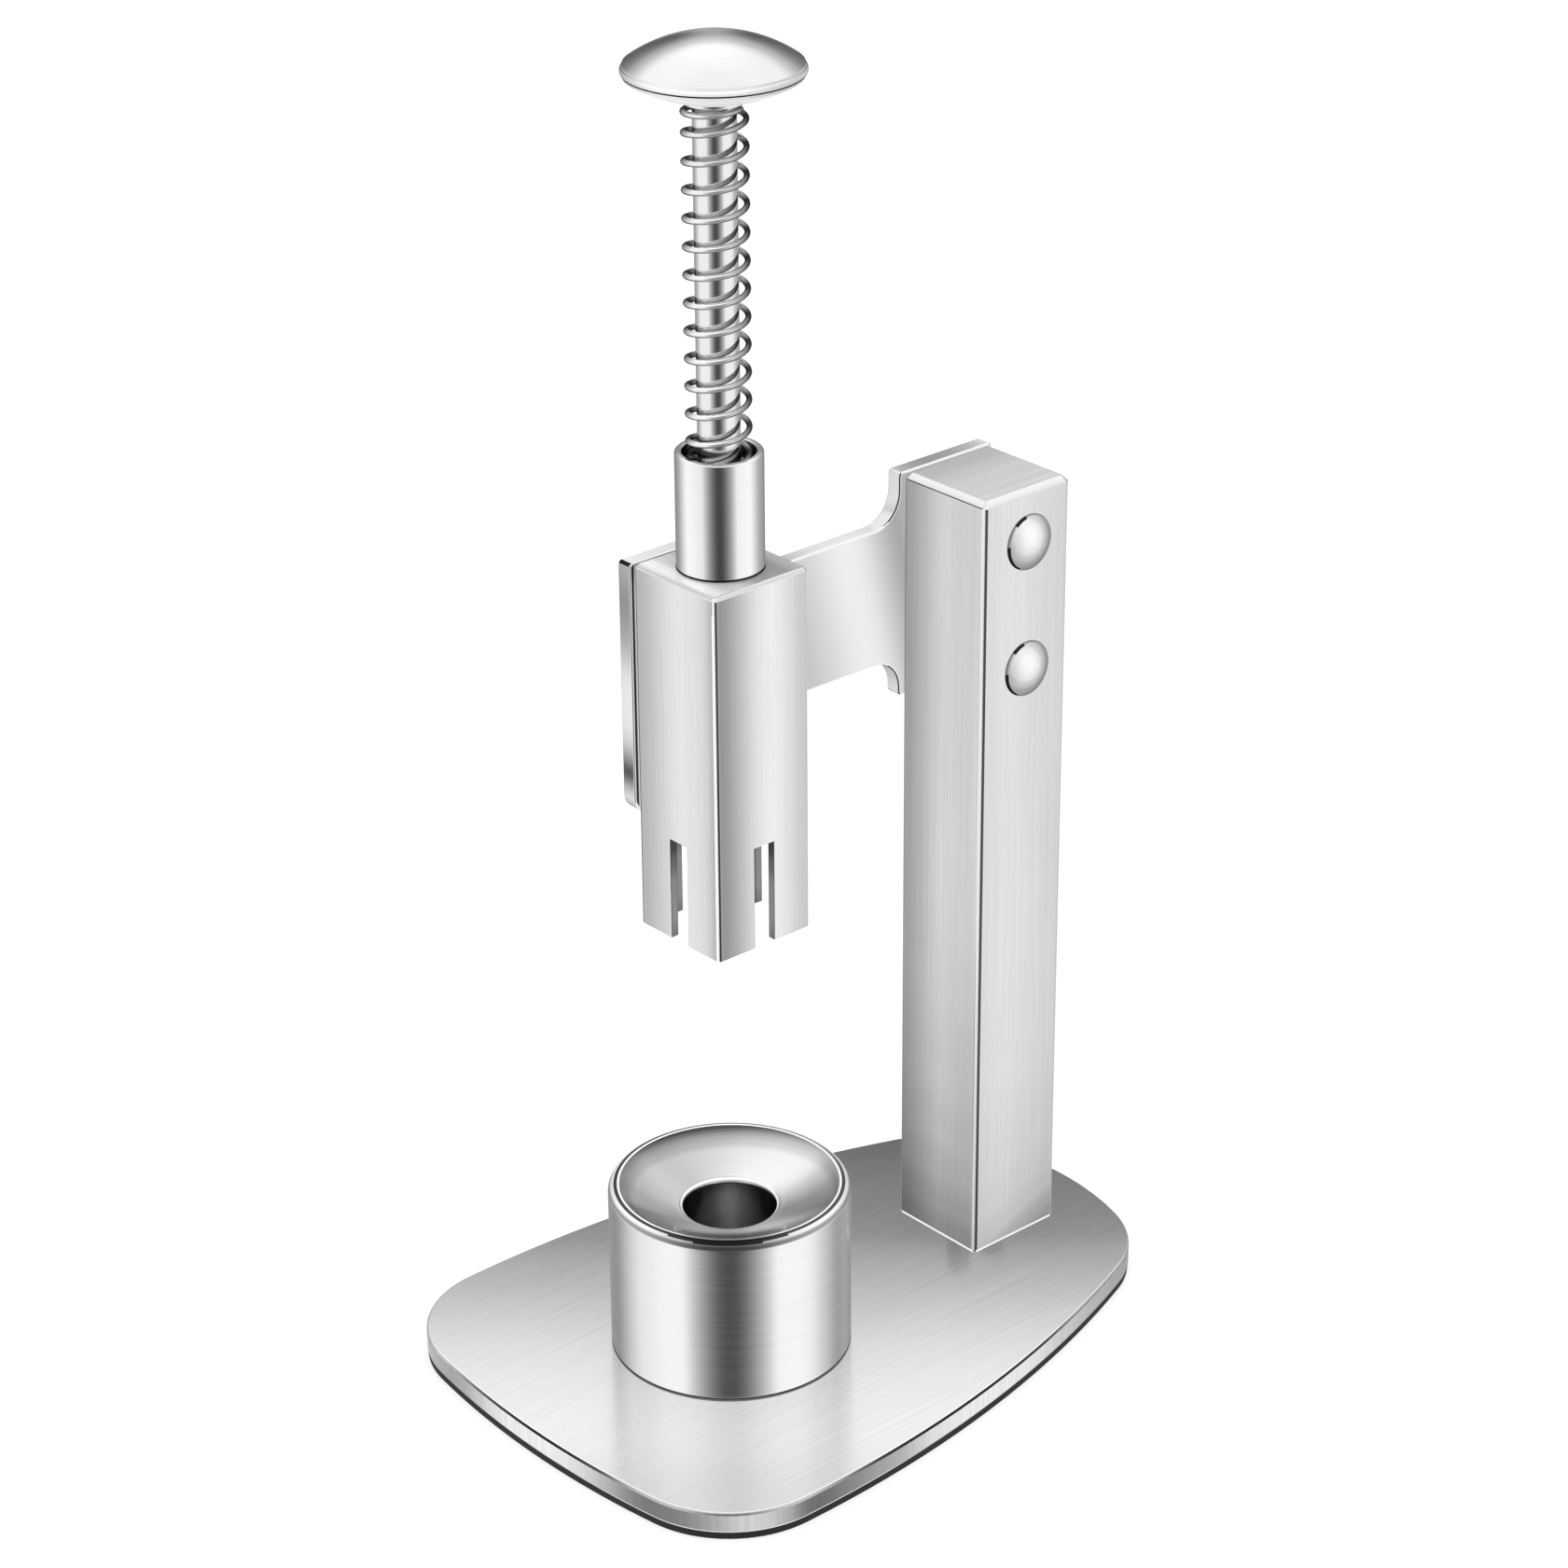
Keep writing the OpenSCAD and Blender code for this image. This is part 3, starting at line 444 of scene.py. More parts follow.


# Painted light and shade: the top is painted lighter toward the right front, and the side and the lower
# eased edge get painted light and dark bands round the plate. The thin line under the top edge is painted as
# a dark shadow line along the front and the right side, lighter at the back.
plate_tones = [(-66, 0.18), (-49, 0.24), (-42, 0.28), (-36, 0.3), (-27, 0.34), (-20, 0.38), (-15, 0.47),
               (-9, 0.55), (-3, 0.62), (3, 0.7), (9, 0.78), (15, 0.86), (21, 0.91), (27, 0.95), (33, 0.97),
               (42, 1), (50, 0.96), (57, 0.88), (68, 0.82)]
side_tones = [(-180, 0.5), (-60, 0.7), (-38, 0.84), (-32, 0.76), (-24, 0.44), (-18, 0.48), (-12, 0.84),
              (-4, 1), (6, 1), (12, 0.8), (18, 0.45), (23, 0.2), (30, 0.25), (35, 0.52), (40, 1),
              (45, 0.48), (48, 0.12), (54, 0.26), (60, 0.4), (68, 0.55), (75, 0.9), (88, 1), (112, 0.98),
              (122, 0.75), (134, 0.65), (148, 0.45), (180, 0.5)]
line_tones = [(-180, 1), (-24, 1), (-17, 0.3), (-8, 0.06), (4, 0.03), (16, 0.06), (22, 0.7), (48, 0.8),
              (57, 0.15), (64, 0.03), (118, 0.04), (132, 0.6), (180, 1)]
lip_tones = [(-180, 0.5), (-30, 0.2), (-12, 0.15), (5, 0.3), (20, 0.95), (62, 1), (78, 0.35), (110, 0.25),
             (180, 0.5)]
right_front = (0.751, -0.660, 0.0)
plate_steel = steel_finish("plate_steel", "Y", 0.93, 0.17, streaks=0.055, stretch=0.55, metallic=0.85,
                           tones=[("along", right_front, plate_tones)])
plate_edge = steel_finish("plate_edge", "Z", 0.95, 0.22, streaks=0.05)
plate_line = steel_finish("plate_line", "Z", 0.9, 0.4, streaks=0.05, tones=[("around", None, line_tones)])
plate_lip = steel_finish("plate_lip", "Z", 0.95, 0.45, streaks=0.05, metallic=0.3,
                         tones=[("around", None, lip_tones)])
plate_side = steel_finish("plate_side", "Z", 0.93, 0.55, streaks=0.12, metallic=0.35,
                          tones=[("around", None, side_tones)])
plate_rings = eased_edges(plate_low, plate_high, plate_lower_eased, plate_eased)
plate_rings.insert(len(plate_rings) // 2, (0.0, plate_high - plate_eased - plate_line_depth))
ground_plate = made_piece("ground_plate", *joined_rings(laid_flat(plate_outline(), plate_rings)))
finished(ground_plate, plate_steel, "stand", "base_plate")
second_finish(ground_plate, plate_edge, lambda facing, middle: 0.8 < facing.z < 0.98)
second_finish(ground_plate, plate_side, lambda facing, middle: abs(facing.z) < 0.1)
second_finish(ground_plate, plate_lip, lambda facing, middle: -0.9 < facing.z < -0.1)
# Painted shadow line just under the eased top edge.
second_finish(ground_plate, plate_line, lambda facing, middle: (
    abs(facing.z) < 0.8 and middle.z > plate_high - plate_eased - plate_line_depth))

# Grip pad
# A thin black rubber sheet glued under the plate, cut a little smaller than the plate.
# It keeps the stand from sliding, and shows as a dark line all round.
pad_inset = 0.1
pad_lower_eased, pad_eased = 0.25, 0.05


def moulded_finish(name, roughness, two_tones, pattern_kind, settings, sizes, strength, depth):
    """Rubber or plastic, with a fine pattern that shows in its colour and in its surface."""
    stuff = bpy.data.materials.new(name)
    stuff.use_nodes = True
    tree = stuff.node_tree
    shader = tree.nodes["Principled BSDF"]
    shader.inputs["Roughness"].default_value = roughness
    place = laid_node(tree, "ShaderNodeTexCoord", {}).outputs["Object"]
    pattern = laid_node(tree, pattern_kind, settings, place)
    for socket, size in sizes.items():
        pattern.inputs[socket].default_value = size
    tree.links.new(blended(tree, pattern.outputs["Fac"], *two_tones), shader.inputs["Base Color"])
    carved(tree, shader, pattern.outputs["Fac"], strength, depth)
    return stuff


pad_rubber = moulded_finish("pad_rubber", 0.75, ((0.004, 0.004, 0.004, 1), (0.014, 0.014, 0.015, 1)),
                            "ShaderNodeTexNoise", {}, {"Scale": 2600.0, "Detail": 3.0}, 0.4, 0.0001)
grip_pad = made_piece("grip_pad", *joined_rings(laid_flat(
    drawn_in(plate_outline(), pad_inset), eased_edges(0.0, plate_low, pad_lower_eased, pad_eased))))
finished(grip_pad, pad_rubber, "stand", "base_pad")

# Post
# A 20 mm square stainless tube that stands on the plate, with a lid welded in flush and bevelled.
# It is brushed lengthwise. Two screws from under the plate pull on a block in its foot.
post_x, post_y = 0.0, 40.9
post_width, post_wall, post_corner = 20.0, 1.5, 1.0
stand_top = 151.3
post_lid = 3.0
top_bevel = 1.0
foot_bevel, foot_band = 0.3, 0.45
bolt_heights = (118.65, 141.95)
bolt_shank, nut_barrel, fit = 5.0, 7.0, 0.05


def square_outline(x, y, width, corner, steps=6):
    """A square with round corners, seen from above."""
    straight = width / 2 - corner
    return [point for i, (cx, cy) in enumerate(((1, 1), (-1, 1), (-1, -1), (1, -1)))
            for point in arc((x + cx * straight, y + cy * straight), corner,
                             i * math.pi / 2, (i + 1) * math.pi / 2, steps)]


def bar_cutter(sides, radius, length, place):
    """A round or six-sided bar to cut with."""
    bar = bmesh.new()
    bmesh.ops.create_cone(bar, cap_ends=True, segments=sides, radius1=radius * mm, radius2=radius * mm,
                          depth=length * mm)
    bar.transform(place)
    return bar


def cut_away(piece, bars, crease=35):
    """Cuts bars out of a piece, and leaves it sharp where it was cut."""
    cutters = []
    for bar in bars:
        bar_mesh = bpy.data.meshes.new("cutter")
        bar.to_mesh(bar_mesh)
        bar.free()
        cutter = bpy.data.objects.new("cutter", bar_mesh)
        bpy.context.scene.collection.objects.link(cutter)
        cut = piece.modifiers.new("cut", "BOOLEAN")
        cut.object, cut.operation, cut.solver = cutter, "DIFFERENCE", "EXACT"
        cutters.append(cutter)
    bpy.context.view_layer.update()
    cut_mesh = bpy.data.meshes.new_from_object(piece.evaluated_get(bpy.context.evaluated_depsgraph_get()))
    piece.modifiers.clear()
    piece.data = cut_mesh
    for cutter in cutters:
        bpy.data.objects.remove(cutter)
    settle_edges(cut_mesh, crease)


def drilled(piece, holes, crease=35):
    """Cuts straight round holes through a piece. Each is a start, an end and a diameter."""
    drill_sides = 64
    bars = []
    for start, end, diameter in holes:
        start, end = Vector(start) * mm, Vector(end) * mm
        lie = (end - start).to_track_quat("Z", "Y").to_matrix().to_4x4()
        bars.append(bar_cutter(drill_sides, diameter / 2, (end - start).length / mm,
                               Matrix.Translation((start + end) / 2) @ lie))
    cut_away(piece, bars, crease)


# Painted light and shade: light and dark bands round the post, and a painted shade that darkens it toward
# its foot. Along each rounded corner there is a painted highlight beside a thin painted dark line.
post_bands = [(-180, 0.8), (-140, 0.85), (-90, 0.85), (-44, 0.47), (-38, 0.51), (-30, 0.6), (-18, 0.74),
              (-6, 0.86), (4, 0.9), (20, 0.87), (38, 0.83), (46, 0.94), (52, 0.95), (60, 0.99), (72, 1.02),
              (90, 0.98), (112, 0.93), (134, 0.88), (180, 0.8)]
post_heights = [(-16, 0.42), (-10.5, 0.47), (-7.5, 0.58), (-4, 0.75), (2, 0.84), (9, 0.9), (29, 0.98),
                (49, 1), (152, 1)]
front_heights = [(4, 0.35), (8, 0.42), (12, 0.51), (20, 0.66), (28, 0.79), (40, 0.9), (60, 0.98), (75, 1),
                 (152, 0.97)]
post_steel = steel_finish("post_steel", "Z", 0.86, 0.28, streaks=0.09, stretch=0.6, at=(post_x, post_y),
                          tones=[("around", None, post_bands), ("along", (0, -0.35, 1), post_heights)])
post_front_steel = steel_finish("post_front_steel", "Z", 0.86, 0.28, streaks=0.09, stretch=0.6,
                                at=(post_x, post_y),
                                tones=[("around", None, post_bands), ("along", (0, 0, 1), front_heights)])
edge_steel = steel_finish("edge_steel", "Z", 0.95, 0.14)
across_corners = (0.707, 0.707, 0)
corner_tones = [(13, 0.45), (16, 0.45), (20, 0.8), (28, 1), (28.85, 1), (29, 0.08), (29.5, 0.08),
                (29.9, 0.5), (35, 0.7), (45, 0.8)]
corner_steel = steel_finish("corner_steel", "Z", 0.97, 0.4, streaks=0, metallic=0.15,
                            tones=[("along", across_corners, corner_tones)])
post_outline = square_outline(post_x, post_y, post_width, post_corner)
post_bore = square_outline(post_x, post_y, post_width - 2 * post_wall, post_corner / 2)
post_rings = laid_flat(post_outline, (
    (foot_bevel, plate_high), (0.0, plate_high + foot_bevel), (0.0, plate_high + foot_bevel + foot_band),
    (0.0, stand_top - post_lid)))
post_rings += [[(x, y, z) for x, y in post_bore] for z in (stand_top - post_lid, plate_high)]
post = made_piece("post", *joined_rings(post_rings, ends="round"))
drilled(post, [hole for z in bolt_heights for hole in (
    ((-post_width, post_y, z), (0, post_y, z), nut_barrel + 2 * fit),
    ((0, post_y, z), (post_width, post_y, z), bolt_shank + 2 * fit))])
finished(post, post_steel, "stand", "column_tube")
square_on = 0.985  # a face that looks this much along one axis is one of the flat sides


def off_square(facing, middle):
    """Whether a face of a square piece belongs to a rounded corner or to a bevel."""
    return max(abs(facing.x), abs(facing.y), abs(facing.z)) < square_on


def frontward(facing, middle):
    """Whether a face looks to the front."""
    return facing.y < -square_on


# The front face gets its own copy of the finish, with a stronger painted shade toward the foot.
second_finish(post, post_front_steel, frontward)
second_finish(post, corner_steel, off_square)
second_finish(post, edge_steel, lambda facing, middle: middle.z < plate_high + foot_bevel + foot_band)

# Painted shade: the post lid's top is painted darker toward the left, and its sides carry the post's painted
# bands.
lid_tones = [(-10, 0.62), (-8, 0.67), (0, 0.83), (8, 0.9), (10, 0.9)]
lid_steel = steel_finish("lid_steel", "Y", 0.97, 0.3, streaks=0.1, stretch=0.5, metallic=0.8,
                         tones=[("along", (1, 0, 0), lid_tones)])
bevel_steel = steel_finish("bevel_steel", "Y", 0.84, 0.2)


def lid_rings(x, y, width, corner, low, bevel):
    """Rings of a lid that is flush with its tube, with a soft-edged bevel round its top."""
    soft, least_corner = 0.12, 0.3
    rise = ((0.0, low), (0.0, stand_top - bevel - soft), (soft * 0.7, stand_top - bevel + soft * 0.3),
            (bevel - soft, stand_top - soft * 0.7), (bevel + soft, stand_top))
    return [[(px, py, z) for px, py in square_outline(
        x, y, width - 2 * inset, max(least_corner, corner - inset / 2))] for inset, z in rise]


post_lid_piece = made_piece("post_lid", *joined_rings(lid_rings(
    post_x, post_y, post_width, post_corner, stand_top - post_lid, top_bevel)), crease=30)
finished(post_lid_piece, lid_steel, "stand", "column_cap")


def upright(facing, middle):
    """Whether a face stands upright."""
    return abs(facing.z) < 0.2


second_finish(post_lid_piece, post_steel, upright)
second_finish(post_lid_piece, post_front_steel, frontward)
second_finish(post_lid_piece, bevel_steel, off_square)
# A near-black finish for thin painted shade lines: under the post lid's front bevel, on the arm's edges,
# round the bolt heads, at the sleeve's foot, under the button's rim and round the cup's foot.
painted_shade_line = steel_finish("painted_shade_line", "Z", 0.03, 0.45)
second_finish(post_lid_piece, painted_shade_line, lambda facing, middle: facing.y < -0.5 and 0.05 < facing.z < 0.5)
second_finish(post_lid_piece, corner_steel, lambda facing, middle: (
    off_square(facing, middle) and upright(facing, middle)))

# Foot block and its screws
# A steel block tapped for two countersunk screws, out of sight in the post's foot.
# The screws go up through the plate, so nothing of them shows from above.
block_steel = steel_finish("block_steel", "X", 0.62, 0.38, streaks=0.1, stretch=0.3)
screw_steel = steel_finish("screw_steel", "turned", 0.74, 0.22, streaks=0.05, stretch=0.2,
                           at=(post_x, post_y))


def kept_as_packed(node, metal, mirrored=False):
    """Gives its finish to a piece that is shown as it was packed."""
    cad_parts[node].material_slots[0].material = metal
    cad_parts[node].visible_glossy = mirrored


kept_as_packed("column_foot_block", block_steel)
kept_as_packed("column_foot_screws", screw_steel, mirrored=True)

# Side arm
# A 3 mm stainless plate that carries the head on the post's left side. It is cut with two wide
# ends, a narrow neck and hollow corners, brushed along its length, with every edge eased.
arm_face, arm_thick = -10.0, 3.0
arm_end_length, arm_neck = 21.6, 25.0
arm_back_low, arm_front_low = stand_top - 41.5, stand_top - 45.0
arm_hollow, arm_round, arm_corner = 5.775, 3.0, 0.8
arm_eased = 0.35
head_x, head_y, head_width = 0.0, -18.5, 20.0
head_screw = 4.0


def rounded(corners, steps):
    """An outline whose corners are rounded: each corner is its place and its radius."""
    outline = []
    for i, (x, y, r) in enumerate(corners):
        here = Vector((x, y))
        a = (Vector(corners[i - 1][:2]) - here).normalized()
        b = (Vector(corners[(i + 1) % len(corners)][:2]) - here).normalized()
        if r == 0:
            outline.append((x, y))
            continue
        half = a.angle(b) / 2
        centre = here + (a + b).normalized() * r / math.sin(half)
        start, end = here + a * r / math.tan(half) - centre, here + b * r / math.tan(half) - centre
        sweep = (math.atan2(end.y, end.x) - math.atan2(start.y, start.x) + math.pi) % math.tau - math.pi
        outline += arc(centre, r, math.atan2(start.y, start.x), math.atan2(start.y, start.x) + sweep, steps)
    return outline


arc_steps, edge_steps = 8, 4
arm_back, arm_front = post_y + arm_end_length / 2, head_y - arm_end_length / 2
neck_middle = (stand_top + (arm_back_low + arm_front_low) / 2) / 2
neck_low, neck_high = neck_middle - arm_neck / 2, neck_middle + arm_neck / 2
arm_outline = rounded([
    (arm_back, arm_back_low, arm_round), (arm_back, stand_top, arm_corner),
    (arm_back - arm_end_length, stand_top, arm_corner), (arm_back - arm_end_length, neck_high, arm_hollow),
    (arm_front + arm_end_length, neck_high, arm_hollow), (arm_front + arm_end_length, stand_top, arm_corner),
    (arm_front, stand_top, arm_corner), (arm_front, arm_front_low, arm_round),
    (arm_front + arm_end_length, arm_front_low, arm_corner),
    (arm_front + arm_end_length, neck_low, arm_hollow), (arm_back - arm_end_length, neck_low, arm_hollow),
    (arm_back - arm_end_length, arm_back_low, arm_corner)], arc_steps)
arm_rings = [[(x, y, z) for y, z in drawn_in(arm_outline, inset)]
             for inset, x in eased_edges(arm_face - arm_thick, arm_face, arm_eased, arm_eased, edge_steps)]
side_arm = made_piece("side_arm", *joined_rings(arm_rings))
drilled(side_arm, [((arm_face - 2 * arm_thick, y, z), (0, y, z), hole + 2 * fit)
                   for z in bolt_heights for y, hole in ((post_y, nut_barrel), (head_y, head_screw))])
# Painted light and shade: the arm's face is painted in light and dark bands along its length, darkest beside
# the post. Its inner face has a painted dark strip at its front end, and its top and front end get painted
# light and dark bands.
arm_tones = [(-10, 0.85), (20, 0.8), (32, 0.62), (38, 0.66), (40.5, 0.74), (43, 0.8), (45.3, 0.88),
             (47.7, 0.96), (50, 1), (52, 1), (54.7, 0.93), (57, 0.78), (59.5, 0.62), (62, 0.48), (64, 0.45),
             (90, 0.8)]
along_neck = (0, 1, 0.235)
arm_steel = steel_finish("arm_steel", "Z", 0.97, 0.3, streaks=0.04, stretch=0.5,
                         tones=[("along", along_neck, arm_tones)])
inner_tones = [(-30, 0.04), (-28.55, 0.04), (-28.2, 1), (-10, 1)]
arm_inner = steel_finish("arm_inner", "Z", 0.97, 0.3, streaks=0.04, stretch=0.5,
                         tones=[("along", along_neck, arm_tones), ("along", (0, 1, 0), inner_tones)])
arm_edge = steel_finish("arm_edge", "X", 0.8, 0.3, streaks=0.06)
top_tones = [(-30, 0.92), (-12, 0.76), (-9, 0.55), (-5, 0.4), (-1, 0.31), (1, 0.3), (4, 0.44), (7, 0.62),
             (11, 0.78), (20, 0.84), (26, 0.72), (31, 0.48), (36, 0.3), (42, 0.36), (48, 0.46), (52, 0.8)]
arm_top = steel_finish("arm_top", "Y", 0.97, 0.3, streaks=0.06, metallic=0.5,
                       tones=[("along", (0, 1, 0), top_tones)])
end_tones = [(104, 1), (109, 1), (111.5, 0.45), (113.5, 0.06), (115.5, 0.26), (118.5, 0.74), (122, 1),
             (129, 1), (132, 0.92), (136, 0.58), (139, 0.5), (143, 0.38), (146, 0.38), (150, 0.54),
             (152, 0.54)]
arm_end = steel_finish("arm_end", "Z", 0.97, 0.3, streaks=0.06, tones=[("along", (0, 0, 1), end_tones)])
finished(side_arm, arm_steel, "stand", "arm_plate")
second_finish(side_arm, arm_edge, lambda facing, middle: abs(facing.x) < 0.3)
second_finish(side_arm, arm_top, lambda facing, middle: facing.z > 0.9)
second_finish(side_arm, arm_end, lambda facing, middle: facing.y < -0.9 and middle.y < arm_front + 1)
second_finish(side_arm, edge_steel, lambda facing, middle: 0.3 <= abs(facing.x) < square_on)
second_finish(side_arm, arm_inner, lambda facing, middle: facing.x > square_on)
# Painted shade lines on the front end's top corner and along the eased inner edges by the neck.
second_finish(side_arm, painted_shade_line, lambda facing, middle: (
    facing.y < -0.25 and facing.z > 0.35 and abs(facing.x) < 0.3 and middle.y < arm_front + 1))
front_hollow_end, back_hollow_start = -1.0, 20.0
second_finish(side_arm, painted_shade_line, lambda facing, middle: 0.3 < facing.x < square_on and (
    facing.z > 0.2 and arm_front + arm_end_length < middle.y < front_hollow_end
    or facing.y < -0.3 and middle.y > back_hollow_start))

# Post bolts and barrel nuts
# Two polished bolts with plain domed heads on the post's right face. Their threads run into domed
# barrel nuts from the arm's far side, which have a hexagon socket to turn them by. A spacer tube
# round each barrel, inside the post, keeps the walls from being crushed.
bolt_head, bolt_dome = 10.0, 2.5
bolt_length, socket_width, socket_depth = 16.0, 3.0, 1.3


def turned(section, sides=96, ends="axis"):
    """Corners and faces of a turned form about Z, from its half section as radius and height.

    ends: axis, where the section starts and ends at radius 0, or round, where it closes on itself.
    """
    corners, faces, rings = [], [], []
    for radius, height in section:
        if radius < 1e-6:
            rings.append([len(corners)])
            corners.append((0.0, 0.0, height))
        else:
            rings.append(list(range(len(corners), len(corners) + sides)))
            corners += [(x, y, height) for x, y in arc((0, 0), radius, 0, math.tau, sides)[:-1]]
    pairs = list(zip(rings, rings[1:]))
    if ends == "round":
        pairs.append((rings[-1], rings[0]))
    for a, b in pairs:
        for k in range(sides):
            ring = [a[k % len(a)], a[(k + 1) % len(a)], b[(k + 1) % len(b)], b[k % len(b)]]
            faces.append(tuple(dict.fromkeys(ring)))
    return corners, faces


def moved(form, matrix):
    """A form turned and moved by a matrix."""
    corners, faces = form
    return [tuple(matrix @ Vector(corner)) for corner in corners], faces


def together(*forms):
    """Several forms as one piece."""
    corners, faces = [], []
    for more_corners, more_faces in forms:
        faces += [tuple(k + len(corners) for k in face) for face in more_faces]
        corners += more_corners
    return corners, faces


def domed_head(diameter, height, shank, length, steps=14):
    """Half section of a bolt from the top of its domed head down to the end of its shank."""
    edge = height / 4
    dome_r = (diameter ** 2 / 4 + (height - edge) ** 2) / (2 * (height - edge))
    reach = math.asin(diameter / 2 / dome_r)
    dome = [(dome_r * math.sin(reach * i / steps), height - dome_r + dome_r * math.cos(reach * i / steps))
            for i in range(steps)]
    soft = edge * 0.45
    rim = [(diameter / 2 - soft * 0.35, edge + soft * 0.3), (diameter / 2, edge - soft * 0.5),
           (diameter / 2, soft), (diameter / 2 - soft, 0.0)]
    bevel = 0.4
    return dome + rim + [(shank / 2, 0.0), (shank / 2, bevel - length), (shank / 2 - bevel, -length),
                         (0.0, -length)]


def laid_over(x, y, z, side):
    """The matrix that lays an upright form over at a place, to point to the side: 1 is +X and -1 is -X."""
    return Matrix.Translation((x, y, z)) @ Matrix.Rotation(side * math.pi / 2, 4, "Y")


# Painted light and shade: each domed head is painted light where it faces a little up and to the front, and
# darker toward its edge.
bolt_tones = [(-1, 0.22), (0.3, 0.22), (0.62, 0.26), (0.78, 0.42), (0.88, 0.64), (0.95, 0.88), (1, 1)]
bolt_steel = steel_finish("bolt_steel", "turned", 0.95, 0.45, metallic=0.4,
                          tones=[("facing", (1, -0.22, 0.22), bolt_tones)])
nut_steel = steel_finish("nut_steel", "turned", 0.84, 0.16)
bolt_section = domed_head(bolt_head, bolt_dome, bolt_shank, bolt_length)
post_bolts = made_piece("post_bolts", *together(*[
    moved(turned(bolt_section), laid_over(post_width / 2, post_y, z, 1)) for z in bolt_heights]))
finished(post_bolts, bolt_steel, "stand", "column_bolts")


def shaded_edge(facing, middle):
    """Whether a face belongs to one of the two painted dark crescents of shade at the front edge of a bolt's
    head.
    """
    crescents = ((0.75, 0.98), (-0.85, 0.08))  # each lies where the edge looks up by a share between these
    up_share = facing.z / max(0.001, math.hypot(facing.y, facing.z))
    on_edge = middle.x > post_width / 2 and facing.x < 0.78 and facing.y < 0
    return on_edge and any(low < up_share < high for low, high in crescents)


second_finish(post_bolts, painted_shade_line, shaded_edge)

nut_length = post_width - post_wall + arm_thick
nut_far = arm_face - arm_thick


def hexagon_sockets(piece, places, width, depth, height):
    """Sinks a hexagon socket into each domed head on the arm's far face."""
    quarter_turn = Matrix.Rotation(math.pi / 2, 4, "Y")
    cut_away(piece, [bar_cutter(
        6, width / math.sqrt(3), 2 * depth,
        Matrix.Translation(Vector((nut_far - height, y, z)) * mm) @ quarter_turn) for y, z in places])


nut_section = domed_head(bolt_head, bolt_dome, nut_barrel, nut_length)
barrel_nuts = made_piece("barrel_nuts", *together(*[
    moved(turned(nut_section), laid_over(nut_far, post_y, z, -1)) for z in bolt_heights]))
nut_bore_floor = post_width / 2 - bolt_length - 1
drilled(barrel_nuts, [((nut_bore_floor, post_y, z), (post_width, post_y, z), bolt_shank + 2 * fit)
                      for z in bolt_heights])
hexagon_sockets(barrel_nuts, [(post_y, z) for z in bolt_heights], socket_width, socket_depth, bolt_dome)
finished(barrel_nuts, nut_steel, "stand", "column_barrel_nuts")
kept_as_packed("column_spacers", block_steel)

# Slotted head
# A square stainless tube, brushed lengthwise, that guides the punch down to the fruit. Its open
# mouth has a slot cut up each face, and its lid is welded in flush and bored for the sleeve.
head_wall, head_corner = 1.5, 0.7
head_mouth = 86.3
slot_width, slot_top = 4.2, 104.6
head_lid = 3.0
sleeve_diameter = 14.4
# Painted light and shade: light and dark bands round the head, and a painted shade inside the slotted mouth
# that darkens upward. Along each rounded corner there are painted light and dark lines.
head_bands = [(-180, 0.9), (-140, 0.9), (-90, 0.9), (-44, 0.58), (-38, 0.63), (-30, 0.73), (-20, 0.82),
              (-10, 0.92), (0, 0.98), (8, 1), (22, 0.96), (38, 0.87), (46, 0.34), (50, 0.36), (56, 0.46),
              (64, 0.6), (73, 0.75), (84, 0.9), (98, 1), (108, 0.99), (122, 0.82), (130, 0.68), (138, 0.7),
              (180, 0.9)]
head_steel = steel_finish("head_steel", "Z", 0.93, 0.24, streaks=0.06, stretch=0.6, at=(head_x, head_y),
                          tones=[("around", None, head_bands)])
inside_tones = [(86, 0.7), (90, 1), (96, 0.95), (100, 0.55), (103, 0.25), (106, 0.2)]
head_inside = steel_finish("head_inside", "Z", 0.3, 0.35, streaks=0.06,
                           tones=[("along", (0, 0, 1), inside_tones)])
head_corner_tones = [(-28, 0.15), (-26, 0.15), (-22, 0.8), (-14, 1), (-13.15, 1), (-13, 0.04),
                     (-12.6, 0.04), (-12.3, 0.35), (-6, 0.7), (2, 0.75)]
head_corner_steel = steel_finish("head_corner_steel", "Z", 0.97, 0.4, streaks=0, metallic=0.15,
                                 tones=[("along", across_corners, head_corner_tones)])


